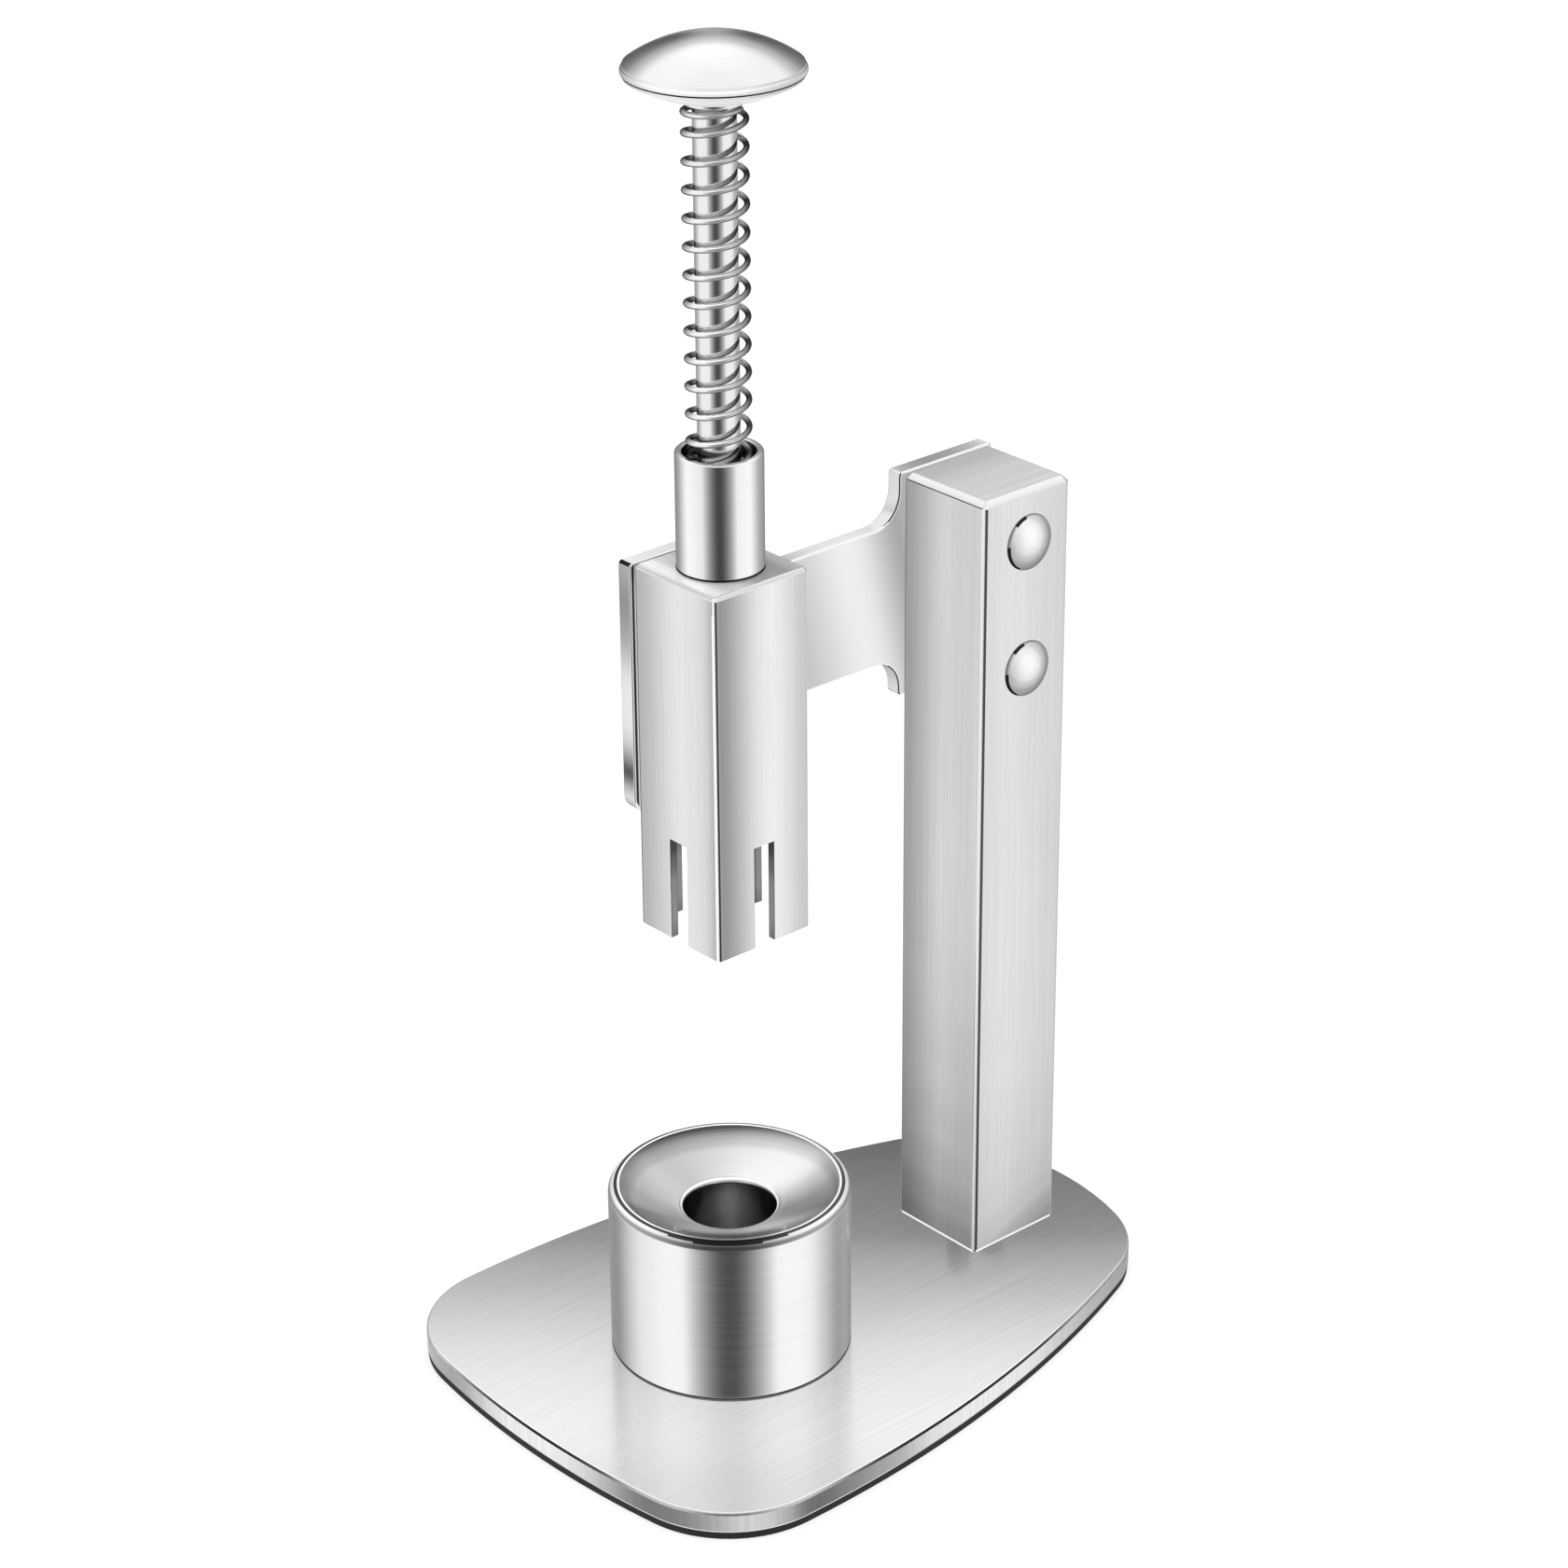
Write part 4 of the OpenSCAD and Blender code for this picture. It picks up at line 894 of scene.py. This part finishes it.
def slotted_tube():
    """The head's tube: four legs with slots between them, and the whole tube above.

    Each wall has its points in three layers: at the mouth, at the top of the slots and under the lid.
    """
    def leg_line(width, corner, quarter):
        """One leg's outer or inner line seen from above, from slot to slot."""
        line = [(width / 2, slot_width / 2)]
        line += arc((width / 2 - corner, width / 2 - corner), corner, 0, math.pi / 2, 6)
        line += [(slot_width / 2, width / 2)]
        turn = Matrix.Rotation(quarter * math.pi / 2, 2)
        return [tuple(turn @ Vector(point)) for point in line]

    corners, faces = [], []
    layers = {}
    count = len(leg_line(head_width, head_corner, 0))
    for height in (head_mouth, slot_top, stand_top - head_lid):
        for wall, (width, corner) in enumerate(((head_width, head_corner),
                                                (head_width - 2 * head_wall, head_corner / 2))):
            for leg in range(4):
                layers[height, wall, leg] = range(len(corners), len(corners) + count)
                corners += [(head_x + x, head_y + y, height) for x, y in leg_line(width, corner, leg)]
    low, middle, high = head_mouth, slot_top, stand_top - head_lid
    for leg in range(4):
        after = (leg + 1) % 4
        for bottom, top in ((low, middle), (middle, high)):
            for wall in (0, 1):
                a, b = layers[bottom, wall, leg], layers[top, wall, leg]
                faces += [(a[k], a[k + 1], b[k + 1], b[k]) for k in range(count - 1)]
        for height in (low, high):
            a, b = layers[height, 0, leg], layers[height, 1, leg]
            faces += [(a[k], a[k + 1], b[k + 1], b[k]) for k in range(count - 1)]
        for k in (0, count - 1):
            faces.append((layers[low, 0, leg][k], layers[low, 1, leg][k],
                          layers[middle, 1, leg][k], layers[middle, 0, leg][k]))
        last, first = layers[middle, 0, leg][-1], layers[middle, 0, after][0]
        inner_last, inner_first = layers[middle, 1, leg][-1], layers[middle, 1, after][0]
        faces.append((last, first, inner_first, inner_last))
        for wall in (0, 1):
            faces.append((layers[middle, wall, leg][-1], layers[middle, wall, after][0],
                          layers[high, wall, after][0], layers[high, wall, leg][-1]))
        faces.append((layers[high, 0, leg][-1], layers[high, 0, after][0],
                      layers[high, 1, after][0], layers[high, 1, leg][-1]))
    return corners, faces


slotted_head = made_piece("slotted_head", *slotted_tube(), crease=30)
drilled(slotted_head, [((-head_width, head_y, z), (0, head_y, z), head_screw + 2 * fit)
                       for z in bolt_heights], crease=30)
broken_edge = 0.15
broken_edges = slotted_head.modifiers.new("broken_edges", "BEVEL")
broken_edges.width = broken_edge * mm
broken_edges.segments = 2
broken_edges.limit_method = "ANGLE"
broken_edges.angle_limit = math.radians(50)
finished(slotted_head, head_steel, "stand", "head_tube")
second_finish(slotted_head, edge_steel, off_square)
second_finish(slotted_head, head_corner_steel, lambda facing, middle: (
    abs(facing.z) < 0.1 and 0.1 < abs(facing.x) < square_on
    and min(abs(middle.x - head_x), abs(middle.y - head_y)) > head_width / 2 - head_corner))
second_finish(slotted_head, head_inside, lambda facing, middle: (
    max(abs(middle.x - head_x), abs(middle.y - head_y)) < head_width / 2 - 0.2 and abs(facing.z) < 0.5))

# Painted light and shade: the head lid's top is painted lighter toward the front and darker toward the back.
head_lid_tones = [(-29, 1), (-26.5, 1), (-23.5, 0.74), (-18, 0.44), (-13, 0.39), (-8, 0.6)]
head_lid_steel = steel_finish("head_lid_steel", "X", 0.97, 0.28, streaks=0.08, stretch=0.5, metallic=0.5,
                              tones=[("along", (0, 1, 0), head_lid_tones)])
head_bevel = 0.5
head_lid_piece = made_piece("head_lid", *joined_rings(lid_rings(
    head_x, head_y, head_width, head_corner, stand_top - head_lid, head_bevel)), crease=30)
drilled(head_lid_piece, [((head_x, head_y, stand_top - 2 * head_lid),
                          (head_x, head_y, stand_top + head_lid), sleeve_diameter + 2 * fit)], crease=30)
finished(head_lid_piece, head_lid_steel, "stand", "head_cap")
second_finish(head_lid_piece, head_steel, upright)
second_finish(head_lid_piece, bevel_steel, off_square)
second_finish(head_lid_piece, head_corner_steel, lambda facing, middle: (
    off_square(facing, middle) and upright(facing, middle)))

# Guide block and head screws
# A steel block fills the head's upper part and carries the sleeve and the rod's lower guide.
# Two polished screws with domed heads and hexagon sockets hold it through the arm.
screw_head, screw_dome = 7.6, 2.2
screw_length = 8.3
screw_socket, screw_socket_depth = 2.5, 1.3
screw_section = domed_head(screw_head, screw_dome, head_screw, screw_length)
head_screws = made_piece("arm_screws", *together(*[
    moved(turned(screw_section), laid_over(nut_far, head_y, z, -1)) for z in bolt_heights]))
hexagon_sockets(head_screws, [(head_y, z) for z in bolt_heights], screw_socket, screw_socket_depth,
                screw_dome)
finished(head_screws, nut_steel, "stand", "head_screws")
kept_as_packed("guide_block", block_steel)

# Spring sleeve
# A turned and polished round sleeve, screwed into the guide block through the head's lid.
# The spring's lower end stands inside it.
sleeve_bore, sleeve_top = 12.0, 171.2
sleeve_foot, sleeve_floor, shank_low, shank = 148.3, 150.3, 144.3, 11.0
guide_diameter, foot_line = 9.0, 0.35
sleeve_section = rounded([
    (guide_diameter / 2 + fit, shank_low, 0), (shank / 2, shank_low, 0.2), (shank / 2, sleeve_foot, 0),
    (sleeve_diameter / 2, sleeve_foot, 0.2), (sleeve_diameter / 2, stand_top + foot_line, 0),
    (sleeve_diameter / 2, sleeve_top, 0.45),
    (sleeve_bore / 2, sleeve_top, 0.3), (sleeve_bore / 2, sleeve_floor, 0.2),
    (guide_diameter / 2 + fit, sleeve_floor, 0)], steps=5)
on_axis = Matrix.Translation((head_x, head_y, 0))
# Painted light and shade: light and dark bands round the sleeve, and a painted shade line round its foot
# just above the lid.
sleeve_bands = [(-180, 0.8), (-60, 0.7), (-41, 0.6), (-30, 0.72), (-15, 0.9), (-5, 1), (10, 1), (22, 0.88),
                (34, 0.82), (60, 0.82), (70, 0.9), (84, 1), (100, 1), (112, 0.9), (125, 0.78), (139, 0.6),
                (180, 0.8)]
sleeve_steel = steel_finish("sleeve_steel", "turned", 0.95, 0.12, stretch=0.4, at=(head_x, head_y),
                            tones=[("around", None, sleeve_bands)])
coil_sleeve = made_piece("coil_sleeve", *moved(turned(sleeve_section, sides=128, ends="round"), on_axis))
finished(coil_sleeve, sleeve_steel, "stand", "spring_sleeve", mirrored=True)
second_finish(coil_sleeve, painted_shade_line, lambda facing, middle: (
    sleeve_foot < middle.z < stand_top + foot_line
    and math.dist(middle.xy, (head_x, head_y)) > sleeve_diameter / 2 - 0.1))

# Guides
# Two flanged bushes of white plastic that the rod slides in: one in the sleeve's foot, where the
# spring stands on its flange, and one in the guide block. They are turned and left as cut.
guide_plastic = moulded_finish("guide_plastic", 0.45, ((0.80, 0.80, 0.77, 1), (0.86, 0.86, 0.84, 1)),
                               "ShaderNodeTexWave", {"bands_direction": "Z"},
                               {"Scale": 900.0, "Distortion": 1.5}, 0.2, 0.00005)
for guide in ("upper_guide", "lower_guide"):
    kept_as_packed(guide, guide_plastic)

# Push rod and its stop
# A 7 mm ground and polished rod with a thread at its top for the palm button, a tapped lower end
# for the punch, and a groove for the retaining ring that stops it against a rubber buffer.
rod, rod_low, rod_high = 7.0, 101.3, 229.0
ring_low, ring_thick, groove = 111.3, 1.0, 0.6
button_thread, button_thread_length = 5.0, 5.0
punch_thread, punch_thread_length = 4.0, 6.0
rod_bore_top = rod_low + punch_thread_length + fit
rod_section = rounded([
    (0.0, rod_bore_top, 0), (punch_thread / 2 + fit, rod_bore_top, 0),
    (punch_thread / 2 + fit, rod_low, 0.2), (rod / 2, rod_low, 0.3), (rod / 2, ring_low - fit, 0.1),
    (rod / 2 - groove, ring_low - fit, 0), (rod / 2 - groove, ring_low + ring_thick + fit, 0),
    (rod / 2, ring_low + ring_thick + fit, 0.1), (rod / 2, rod_high, 0.4), (button_thread / 2, rod_high, 0),
    (button_thread / 2, rod_high + button_thread_length, 0.4),
    (0.0, rod_high + button_thread_length, 0)], steps=4)
rod_steel = steel_finish("rod_steel", "turned", 0.86, 0.1, streaks=0.02, stretch=0.3, at=(head_x, head_y))
plunger_rod = made_piece("plunger_rod", *moved(turned(rod_section), on_axis))
finished(plunger_rod, rod_steel, "plunger", "push_rod")
kept_as_packed("stop_ring", block_steel)
kept_as_packed("stop_buffer", pad_rubber)

# Pit punch
# A stainless tip with four crossed blades and a hollow end that grips the pit.
# Its shank is screwed into the lower end of the rod.
punch_steel = steel_finish("punch_steel", "Z", 0.8, 0.16, streaks=0.05, stretch=0.3)
kept_as_packed("pitter_tip", punch_steel)

# Return spring
# An open coil of 1 mm bright stainless wire round the rod, with a closer turn at each end.
# It stands on the upper guide's flange and lifts the palm button, and flattens as the rod goes down; here it
# is made at rest and stays so.
spring_low, spring_high = 151.3, 228.3
spring_outer, wire = 10.8, 1.0
open_pitch, end_pitch = 4.6, 2.0
spring_end_angle = math.radians(17)
open_turns = (spring_high - spring_low - 2 * wire - 2 * end_pitch) / open_pitch
turns = open_turns + 2
rings_a_turn, wire_sides = 40, 12


def wire_place(turn):
    """The wire's centre, that many turns above its lower end."""
    angle = spring_end_angle + math.tau * (turn - turns)
    radius = (spring_outer - wire) / 2
    rise = (min(turn, 1) * end_pitch + max(0.0, min(turn - 1, open_turns)) * open_pitch
            + max(0.0, turn - 1 - open_turns) * end_pitch)
    settle = (wire / 2) * (max(0.0, 1 - turn) - max(0.0, 1 - (turns - turn)))
    return Vector((radius * math.cos(angle), radius * math.sin(angle), spring_low + wire + rise - settle))


def coiled_wire():
    """A round wire along the coil, rounded off at both ends."""
    tip_reach, tip_width = 0.12, 0.75
    steps = int(turns * rings_a_turn)
    places = [wire_place(turns * i / steps) for i in range(steps + 1)]
    rings = []
    for i, place in enumerate(places):
        along = (places[min(i + 1, steps)] - places[max(i - 1, 0)]).normalized()
        outward = Vector((place.x, place.y, 0)).normalized()
        upward = along.cross(outward).normalized()
        outward = upward.cross(along).normalized()
        rings.append([tuple(place + outward * x + upward * y)
                      for x, y in arc((0, 0), wire / 2, 0, math.tau, wire_sides)[:-1]])
    tips = []
    for end, beside in ((0, 1), (-1, -2)):
        tip = places[end] + (places[end] - places[beside]).normalized() * wire * tip_reach
        tips.append([tuple(tip + (Vector(point) - places[end]) * tip_width) for point in rings[end]])
    return joined_rings([tips[0], *rings, tips[1]])


# Painted light and shade: the wire is painted dark down two sides of the coil, front left and back right,
# and light at the front. It is also painted darker where it faces down.
wire_bands = [(-180, 0.6), (-85, 0.45), (-60, 0.14), (-45, 0.04), (-36, 0.12), (-20, 0.65), (5, 1), (38, 1),
              (62, 0.8), (85, 0.46), (105, 0.27), (122, 0.1), (139, 0.04), (152, 0.12), (180, 0.6)]
wire_tones = [(-1, 0.2), (-0.4, 0.4), (0, 0.95), (0.5, 1), (1, 1)]
spring_steel = steel_finish("spring_steel", "Z", 0.97, 0.1, at=(head_x, head_y), metallic=0.75,
                            tones=[("around", None, wire_bands), ("facing", (0, 0, 1), wire_tones)])
coil_spring = made_piece("coil_spring", *moved(coiled_wire(), on_axis), crease=60)
finished(coil_spring, spring_steel, "stand", "return_spring", mirrored=True)
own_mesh(coil_spring)

# Spring seat and palm button
# The button is a polished lens of solid steel: a low dome on top, a thin rim and a curved
# underside. It screws onto the rod over a thin steel washer that the spring pushes against.
washer_diameter, washer_low, washer_high = 10.2, 228.3, 229.0
button_diameter, button_rim_low, button_rim = 29.0, 232.7, 1.4
button_dome = 4.8
seat_section = rounded([
    (rod / 2 + fit, washer_low, 0), (washer_diameter / 2, washer_low, 0.2),
    (washer_diameter / 2, washer_high, 0.2), (rod / 2 + fit, washer_high, 0)], steps=4)
spring_seat = made_piece("spring_seat", *moved(turned(seat_section, ends="round"), on_axis))
finished(spring_seat, rod_steel, "plunger", "spring_washer", mirrored=True)


def lens_section():
    """Half section of the button: the thread's hole, the underside, the rim and the dome."""
    radius = button_diameter / 2
    seat = washer_diameter / 2
    depth = button_rim_low - washer_high
    under_z = (radius ** 2 - seat ** 2 + depth ** 2) / (2 * depth)
    under_r = math.hypot(seat, under_z)
    dome_r = (radius ** 2 + button_dome ** 2) / (2 * button_dome)
    dome_z = button_rim_low + button_rim + button_dome - dome_r
    hole = button_thread / 2 + fit
    soft = button_rim / 2
    rim_start = radius - soft * 0.6
    under_steps, rim_steps, dome_steps = 16, 8, 28
    hole_top = washer_high + button_thread_length + fit
    section = [(0.0, hole_top), (hole, hole_top), (hole, washer_high)]
    section += arc((0.0, washer_high + under_z), under_r, math.asin(seat / under_r) - math.pi / 2,
                   math.asin(rim_start / under_r) - math.pi / 2, under_steps)
    section += arc((radius - soft, button_rim_low + soft), soft, -math.pi / 3, math.pi / 3, rim_steps)
    section += arc((0.0, dome_z), dome_r, math.acos(rim_start / dome_r), math.pi / 2, dome_steps)[:-1]
    return section + [(0.0, dome_z + dome_r)]


# Painted light and shade: light and dark bands round the dome, fading out near its middle, with a slightly
# darker crown. The rim gets light and dark bands, the underside is painted darker near the washer, and there
# is a painted shade line under the rim.
button_bands = [(-180, 0.6), (-160, 0.95), (-120, 1), (-100, 1), (-80, 0.84), (-60, 0.42), (-40, 0.46),
                (-20, 0.74), (0, 0.88), (20, 0.98), (40, 1), (60, 1), (80, 0.95), (100, 0.82), (120, 0.8),
                (140, 0.5), (160, 0.4), (180, 0.6)]
button_crown = [(0, 0.94), (3, 0.96), (6, 1), (16, 1)]
crown_radius = 6.5
button_steel = steel_finish("button_steel", "turned", 0.93, 0.15, streaks=0.02, at=(head_x, head_y),
                            tones=[("around", crown_radius, button_bands),
                                  ("from", (head_x, head_y, 0), button_crown)])
rim_bands = [(-180, 0.12), (-100, 0.15), (-70, 0.1), (-55, 0.08), (-40, 0.22), (-20, 0.56), (0, 0.84),
             (20, 0.98), (60, 0.98), (80, 0.7), (100, 0.6), (120, 0.66), (132, 0.45), (142, 0.3),
             (160, 0.12), (180, 0.12)]
under_tones = [(0, 0.22), (5.2, 0.22), (6.2, 0.4), (8.5, 0.95), (15, 1)]
rim_steel = steel_finish("rim_steel", "turned", 0.95, 0.5, streaks=0.02, at=(head_x, head_y), metallic=0.3,
                         tones=[("around", None, rim_bands)])
under_steel = steel_finish("under_steel", "turned", 0.95, 0.5, streaks=0.02, at=(head_x, head_y),
                           metallic=0.3, tones=[("from", (head_x, head_y, 0), under_tones)])
palm_button = made_piece("palm_button", *moved(turned(lens_section(), sides=160), on_axis))
finished(palm_button, button_steel, "plunger", "push_cap", mirrored=True)


def button_ring(inside, lowest, highest):
    """A rule that picks the button's faces outside a radius, by how far they look up."""
    def chosen(facing, middle):
        return lowest < facing.z < highest and math.dist(middle.xy, (head_x, head_y)) > inside
    return chosen


# Painted shade on the underside, painted bands on the rim, and a painted shade line under the rim.
second_finish(palm_button, under_steel, button_ring(button_thread, -1.1, -0.5))
second_finish(palm_button, rim_steel, button_ring(button_diameter / 2 - 1.2, -0.2, 0.75))
second_finish(palm_button, painted_shade_line, button_ring(button_diameter / 2 - 1, -0.65, -0.2))

# Fruit cup
# A turned stainless cup. The cherry sits in its polished dish, and the pit drops through the hole
# into the hollow underneath. It only stands over its centring disc, so it lifts off to be emptied.
cup_radius, cup_height, cup_edge = 21.0, 31.0, 1.6
dish_radius, dish_depth = 19.0, 4.2
pit_hole, hole_lip = 8.0, 1.2
hollow_radius, hollow_height, hollow_slope = 18.0, 15.0, 1.0


def cup_section():
    """Half section of the cup: its foot, side, round edge, dish with a broken edge, hole and hollow."""
    broken_out, broken_in, broken_drop = 0.25, 0.05, 0.03
    dish_steps, lip_steps = 24, 8
    dish_low = cup_height - dish_depth
    lip = pit_hole + hole_lip
    dish_z = (dish_radius ** 2 - lip ** 2 + cup_height ** 2 - dish_low ** 2) / (2 * dish_depth)
    dish_r = math.hypot(dish_radius, dish_z - cup_height)
    section = rounded([
        (hollow_radius, 0.0, 0.25), (cup_radius, 0.0, 0.4), (cup_radius, cup_height, cup_edge),
        (dish_radius, cup_height, 0.0)], steps=8)[:-1]
    section += [(dish_radius + broken_out, cup_height), (dish_radius + broken_in, cup_height - broken_drop)]
    start = math.atan2(cup_height - dish_z, dish_radius)
    end = math.atan2(dish_low - dish_z, lip)
    section += arc((0.0, dish_z), dish_r, start, end, dish_steps)[1:-1]
    section += arc((lip, dish_low - hole_lip), hole_lip, math.pi / 2, math.pi, lip_steps)
    section += [(pit_hole, hollow_height), (hollow_radius, hollow_height - hollow_slope)]
    return section


# Painted light and shade: light and dark bands round the side, the dish, the edge, the lips and the bore.
# The dish is painted darker toward its back left edge, and the outer fall of the edge has a painted dark
# line just under its top. The bore is painted darker lower down.
cup_bands = [(-180, 0.8), (-60, 0.8), (-38, 0.82), (-26, 0.84), (-18, 0.76), (-10, 0.88), (-2, 0.9),
             (6, 0.86), (14, 0.98), (26, 1), (34, 0.96), (42, 0.88), (50, 0.82), (56, 0.86), (64, 0.98),
             (76, 1), (86, 1), (94, 0.84), (102, 0.88), (110, 0.76), (118, 0.92), (126, 0.88), (134, 0.8),
             (180, 0.8)]
cup_steel = steel_finish("cup_steel", "turned", 0.95, 0.17, streaks=0.05, stretch=0.5, at=(head_x, head_y),
                         tones=[("around", None, cup_bands)])
dish_bands = [(-180, 0.95), (-160, 1), (-140, 0.96), (-120, 0.8), (-100, 0.68), (-80, 0.56), (-60, 0.7),
              (-40, 1), (-20, 1), (0, 0.95), (20, 1), (48, 0.7), (80, 1), (100, 0.95), (120, 0.62),
              (140, 0.78), (160, 0.86), (180, 0.95)]
dish_shade = [(0, 1), (16.8, 1), (18.5, 0.74), (19.4, 0.62), (20, 0.48), (20.6, 0.28), (21.1, 0.12),
              (24, 0.1)]
dish_shade_middle = (2.2, -19.75, 0)
dish_steel = steel_finish("dish_steel", "turned", 0.9, 0.2, streaks=0.02, stretch=0.2, at=(head_x, head_y),
                          tones=[("around", None, dish_bands), ("from", dish_shade_middle, dish_shade)])
cup_rim_bands = [(-180, 0.7), (-120, 0.5), (-85, 0.2), (-41, 0.08), (-10, 0.14), (15, 0.08), (30, 0.02),
                 (48, 0.015), (66, 0.02), (84, 0.1), (105, 0.16), (139, 0.1), (160, 0.3), (180, 0.7)]
cup_rim_steel = steel_finish("cup_rim_steel", "turned", 0.93, 0.4, streaks=0.02, at=(head_x, head_y),
                             metallic=0.95, tones=[("around", None, cup_rim_bands)])
cup_fall_bands = [(-180, 0.9), (-60, 0.85), (-38, 0.7), (-20, 0.9), (8, 0.85), (24, 0.42), (36, 0.16),
                  (48, 0.12), (60, 0.16), (72, 0.45), (90, 0.9), (118, 0.85), (136, 0.7), (180, 0.9)]
cup_fall_heights = [(33.5, 0.95), (34.9, 0.9), (35.3, 0.4), (35.6, 0.42), (35.9, 1), (36.5, 1)]
cup_fall_steel = steel_finish("cup_fall_steel", "turned", 0.95, 0.4, streaks=0.02, at=(head_x, head_y),
                              metallic=0.4,
                              tones=[("around", None, cup_fall_bands),
                                     ("along", (0, 0, 1), cup_fall_heights)])
lip_bands = [(-180, 0.9), (0, 1), (18, 0.8), (34, 0.3), (48, 0.22), (62, 0.3), (78, 0.8), (95, 1),
             (180, 0.9)]
lip_steel = steel_finish("lip_steel", "turned", 0.95, 0.4, streaks=0.02, at=(head_x, head_y), metallic=0.3,
                         tones=[("around", None, lip_bands)])
bore_bands = [(-180, 0.35), (-165, 0.5), (-145, 0.88), (-131, 1), (-117, 0.88), (-97, 0.5), (-80, 0.35),
              (0, 0.5), (100, 0.5), (180, 0.35)]
bore_heights = [(20, 0.55), (23, 0.65), (26, 0.85), (28.5, 1), (30, 1), (31, 1)]
bore_steel = steel_finish("bore_steel", "turned", 0.96, 0.22, streaks=0.04, at=(head_x, head_y),
                          tones=[("around", None, bore_bands), ("along", (0, 0, 1), bore_heights)])
fruit_cup = made_piece("fruit_cup", *moved(turned(cup_section(), sides=160, ends="round"),
                                           Matrix.Translation((head_x, head_y, plate_high))), crease=40)
finished(fruit_cup, cup_steel, "cup", "cherry_cup", mirrored=True)


def across_cup(inner, outer, bottom, top=cup_height):
    """A rule that picks the cup's faces between two radii and two heights above the plate."""
    def chosen(facing, middle):
        return (inner < math.dist(middle.xy, (head_x, head_y)) < outer
                and bottom < middle.z - plate_high < top + fit)
    return chosen


second_finish(fruit_cup, dish_steel, across_cup(0, dish_radius + 0.1, hollow_height))
second_finish(fruit_cup, bore_steel, across_cup(0, pit_hole + 0.15, hollow_height))
second_finish(fruit_cup, lip_steel, across_cup(pit_hole + 0.15, pit_hole + 0.55, hollow_height))
second_finish(fruit_cup, lip_steel, across_cup(dish_radius, cup_radius - cup_edge, cup_height - 0.2))
second_finish(fruit_cup, cup_fall_steel,
              across_cup(cup_radius - cup_edge, cup_radius - 0.02, cup_height - cup_edge))
broad_side = math.radians(48.68)  # where, round from the front, the painted dark shade line of the rim is broadest


def shaded_rim(facing, middle):
    """Whether a face belongs to the painted dark shade line round the top of the cup's edge, broader at one
    side.
    """
    flat, broad_from, broadening = 0.94, 0.82, 1.2
    away = middle.xy - Vector((head_x, head_y))
    share = away.normalized().dot(Vector((math.sin(broad_side), -math.cos(broad_side))))
    return (middle.z > plate_high + cup_height - cup_edge and away.length > cup_radius - cup_edge
            and facing.z > flat - broadening * max(0.0, share - broad_from))


second_finish(fruit_cup, cup_rim_steel, shaded_rim)
# Painted shadow line round the foot of the cup.
second_finish(fruit_cup, painted_shade_line, across_cup(cup_radius - 0.5, cup_radius - 0.01, 0, 0.5))

# Centring disc
# A low turned disc of steel that the cup's hollow foot fits over, so that it stays under the punch.
# One countersunk screw holds the disc to the plate.
disc_steel = steel_finish("disc_steel", "turned", 0.78, 0.25, streaks=0.05, stretch=0.3,
                          at=(head_x, head_y))
for part in ("cup_locator", "cup_locator_screw"):
    kept_as_packed(part, disc_steel, mirrored=True)
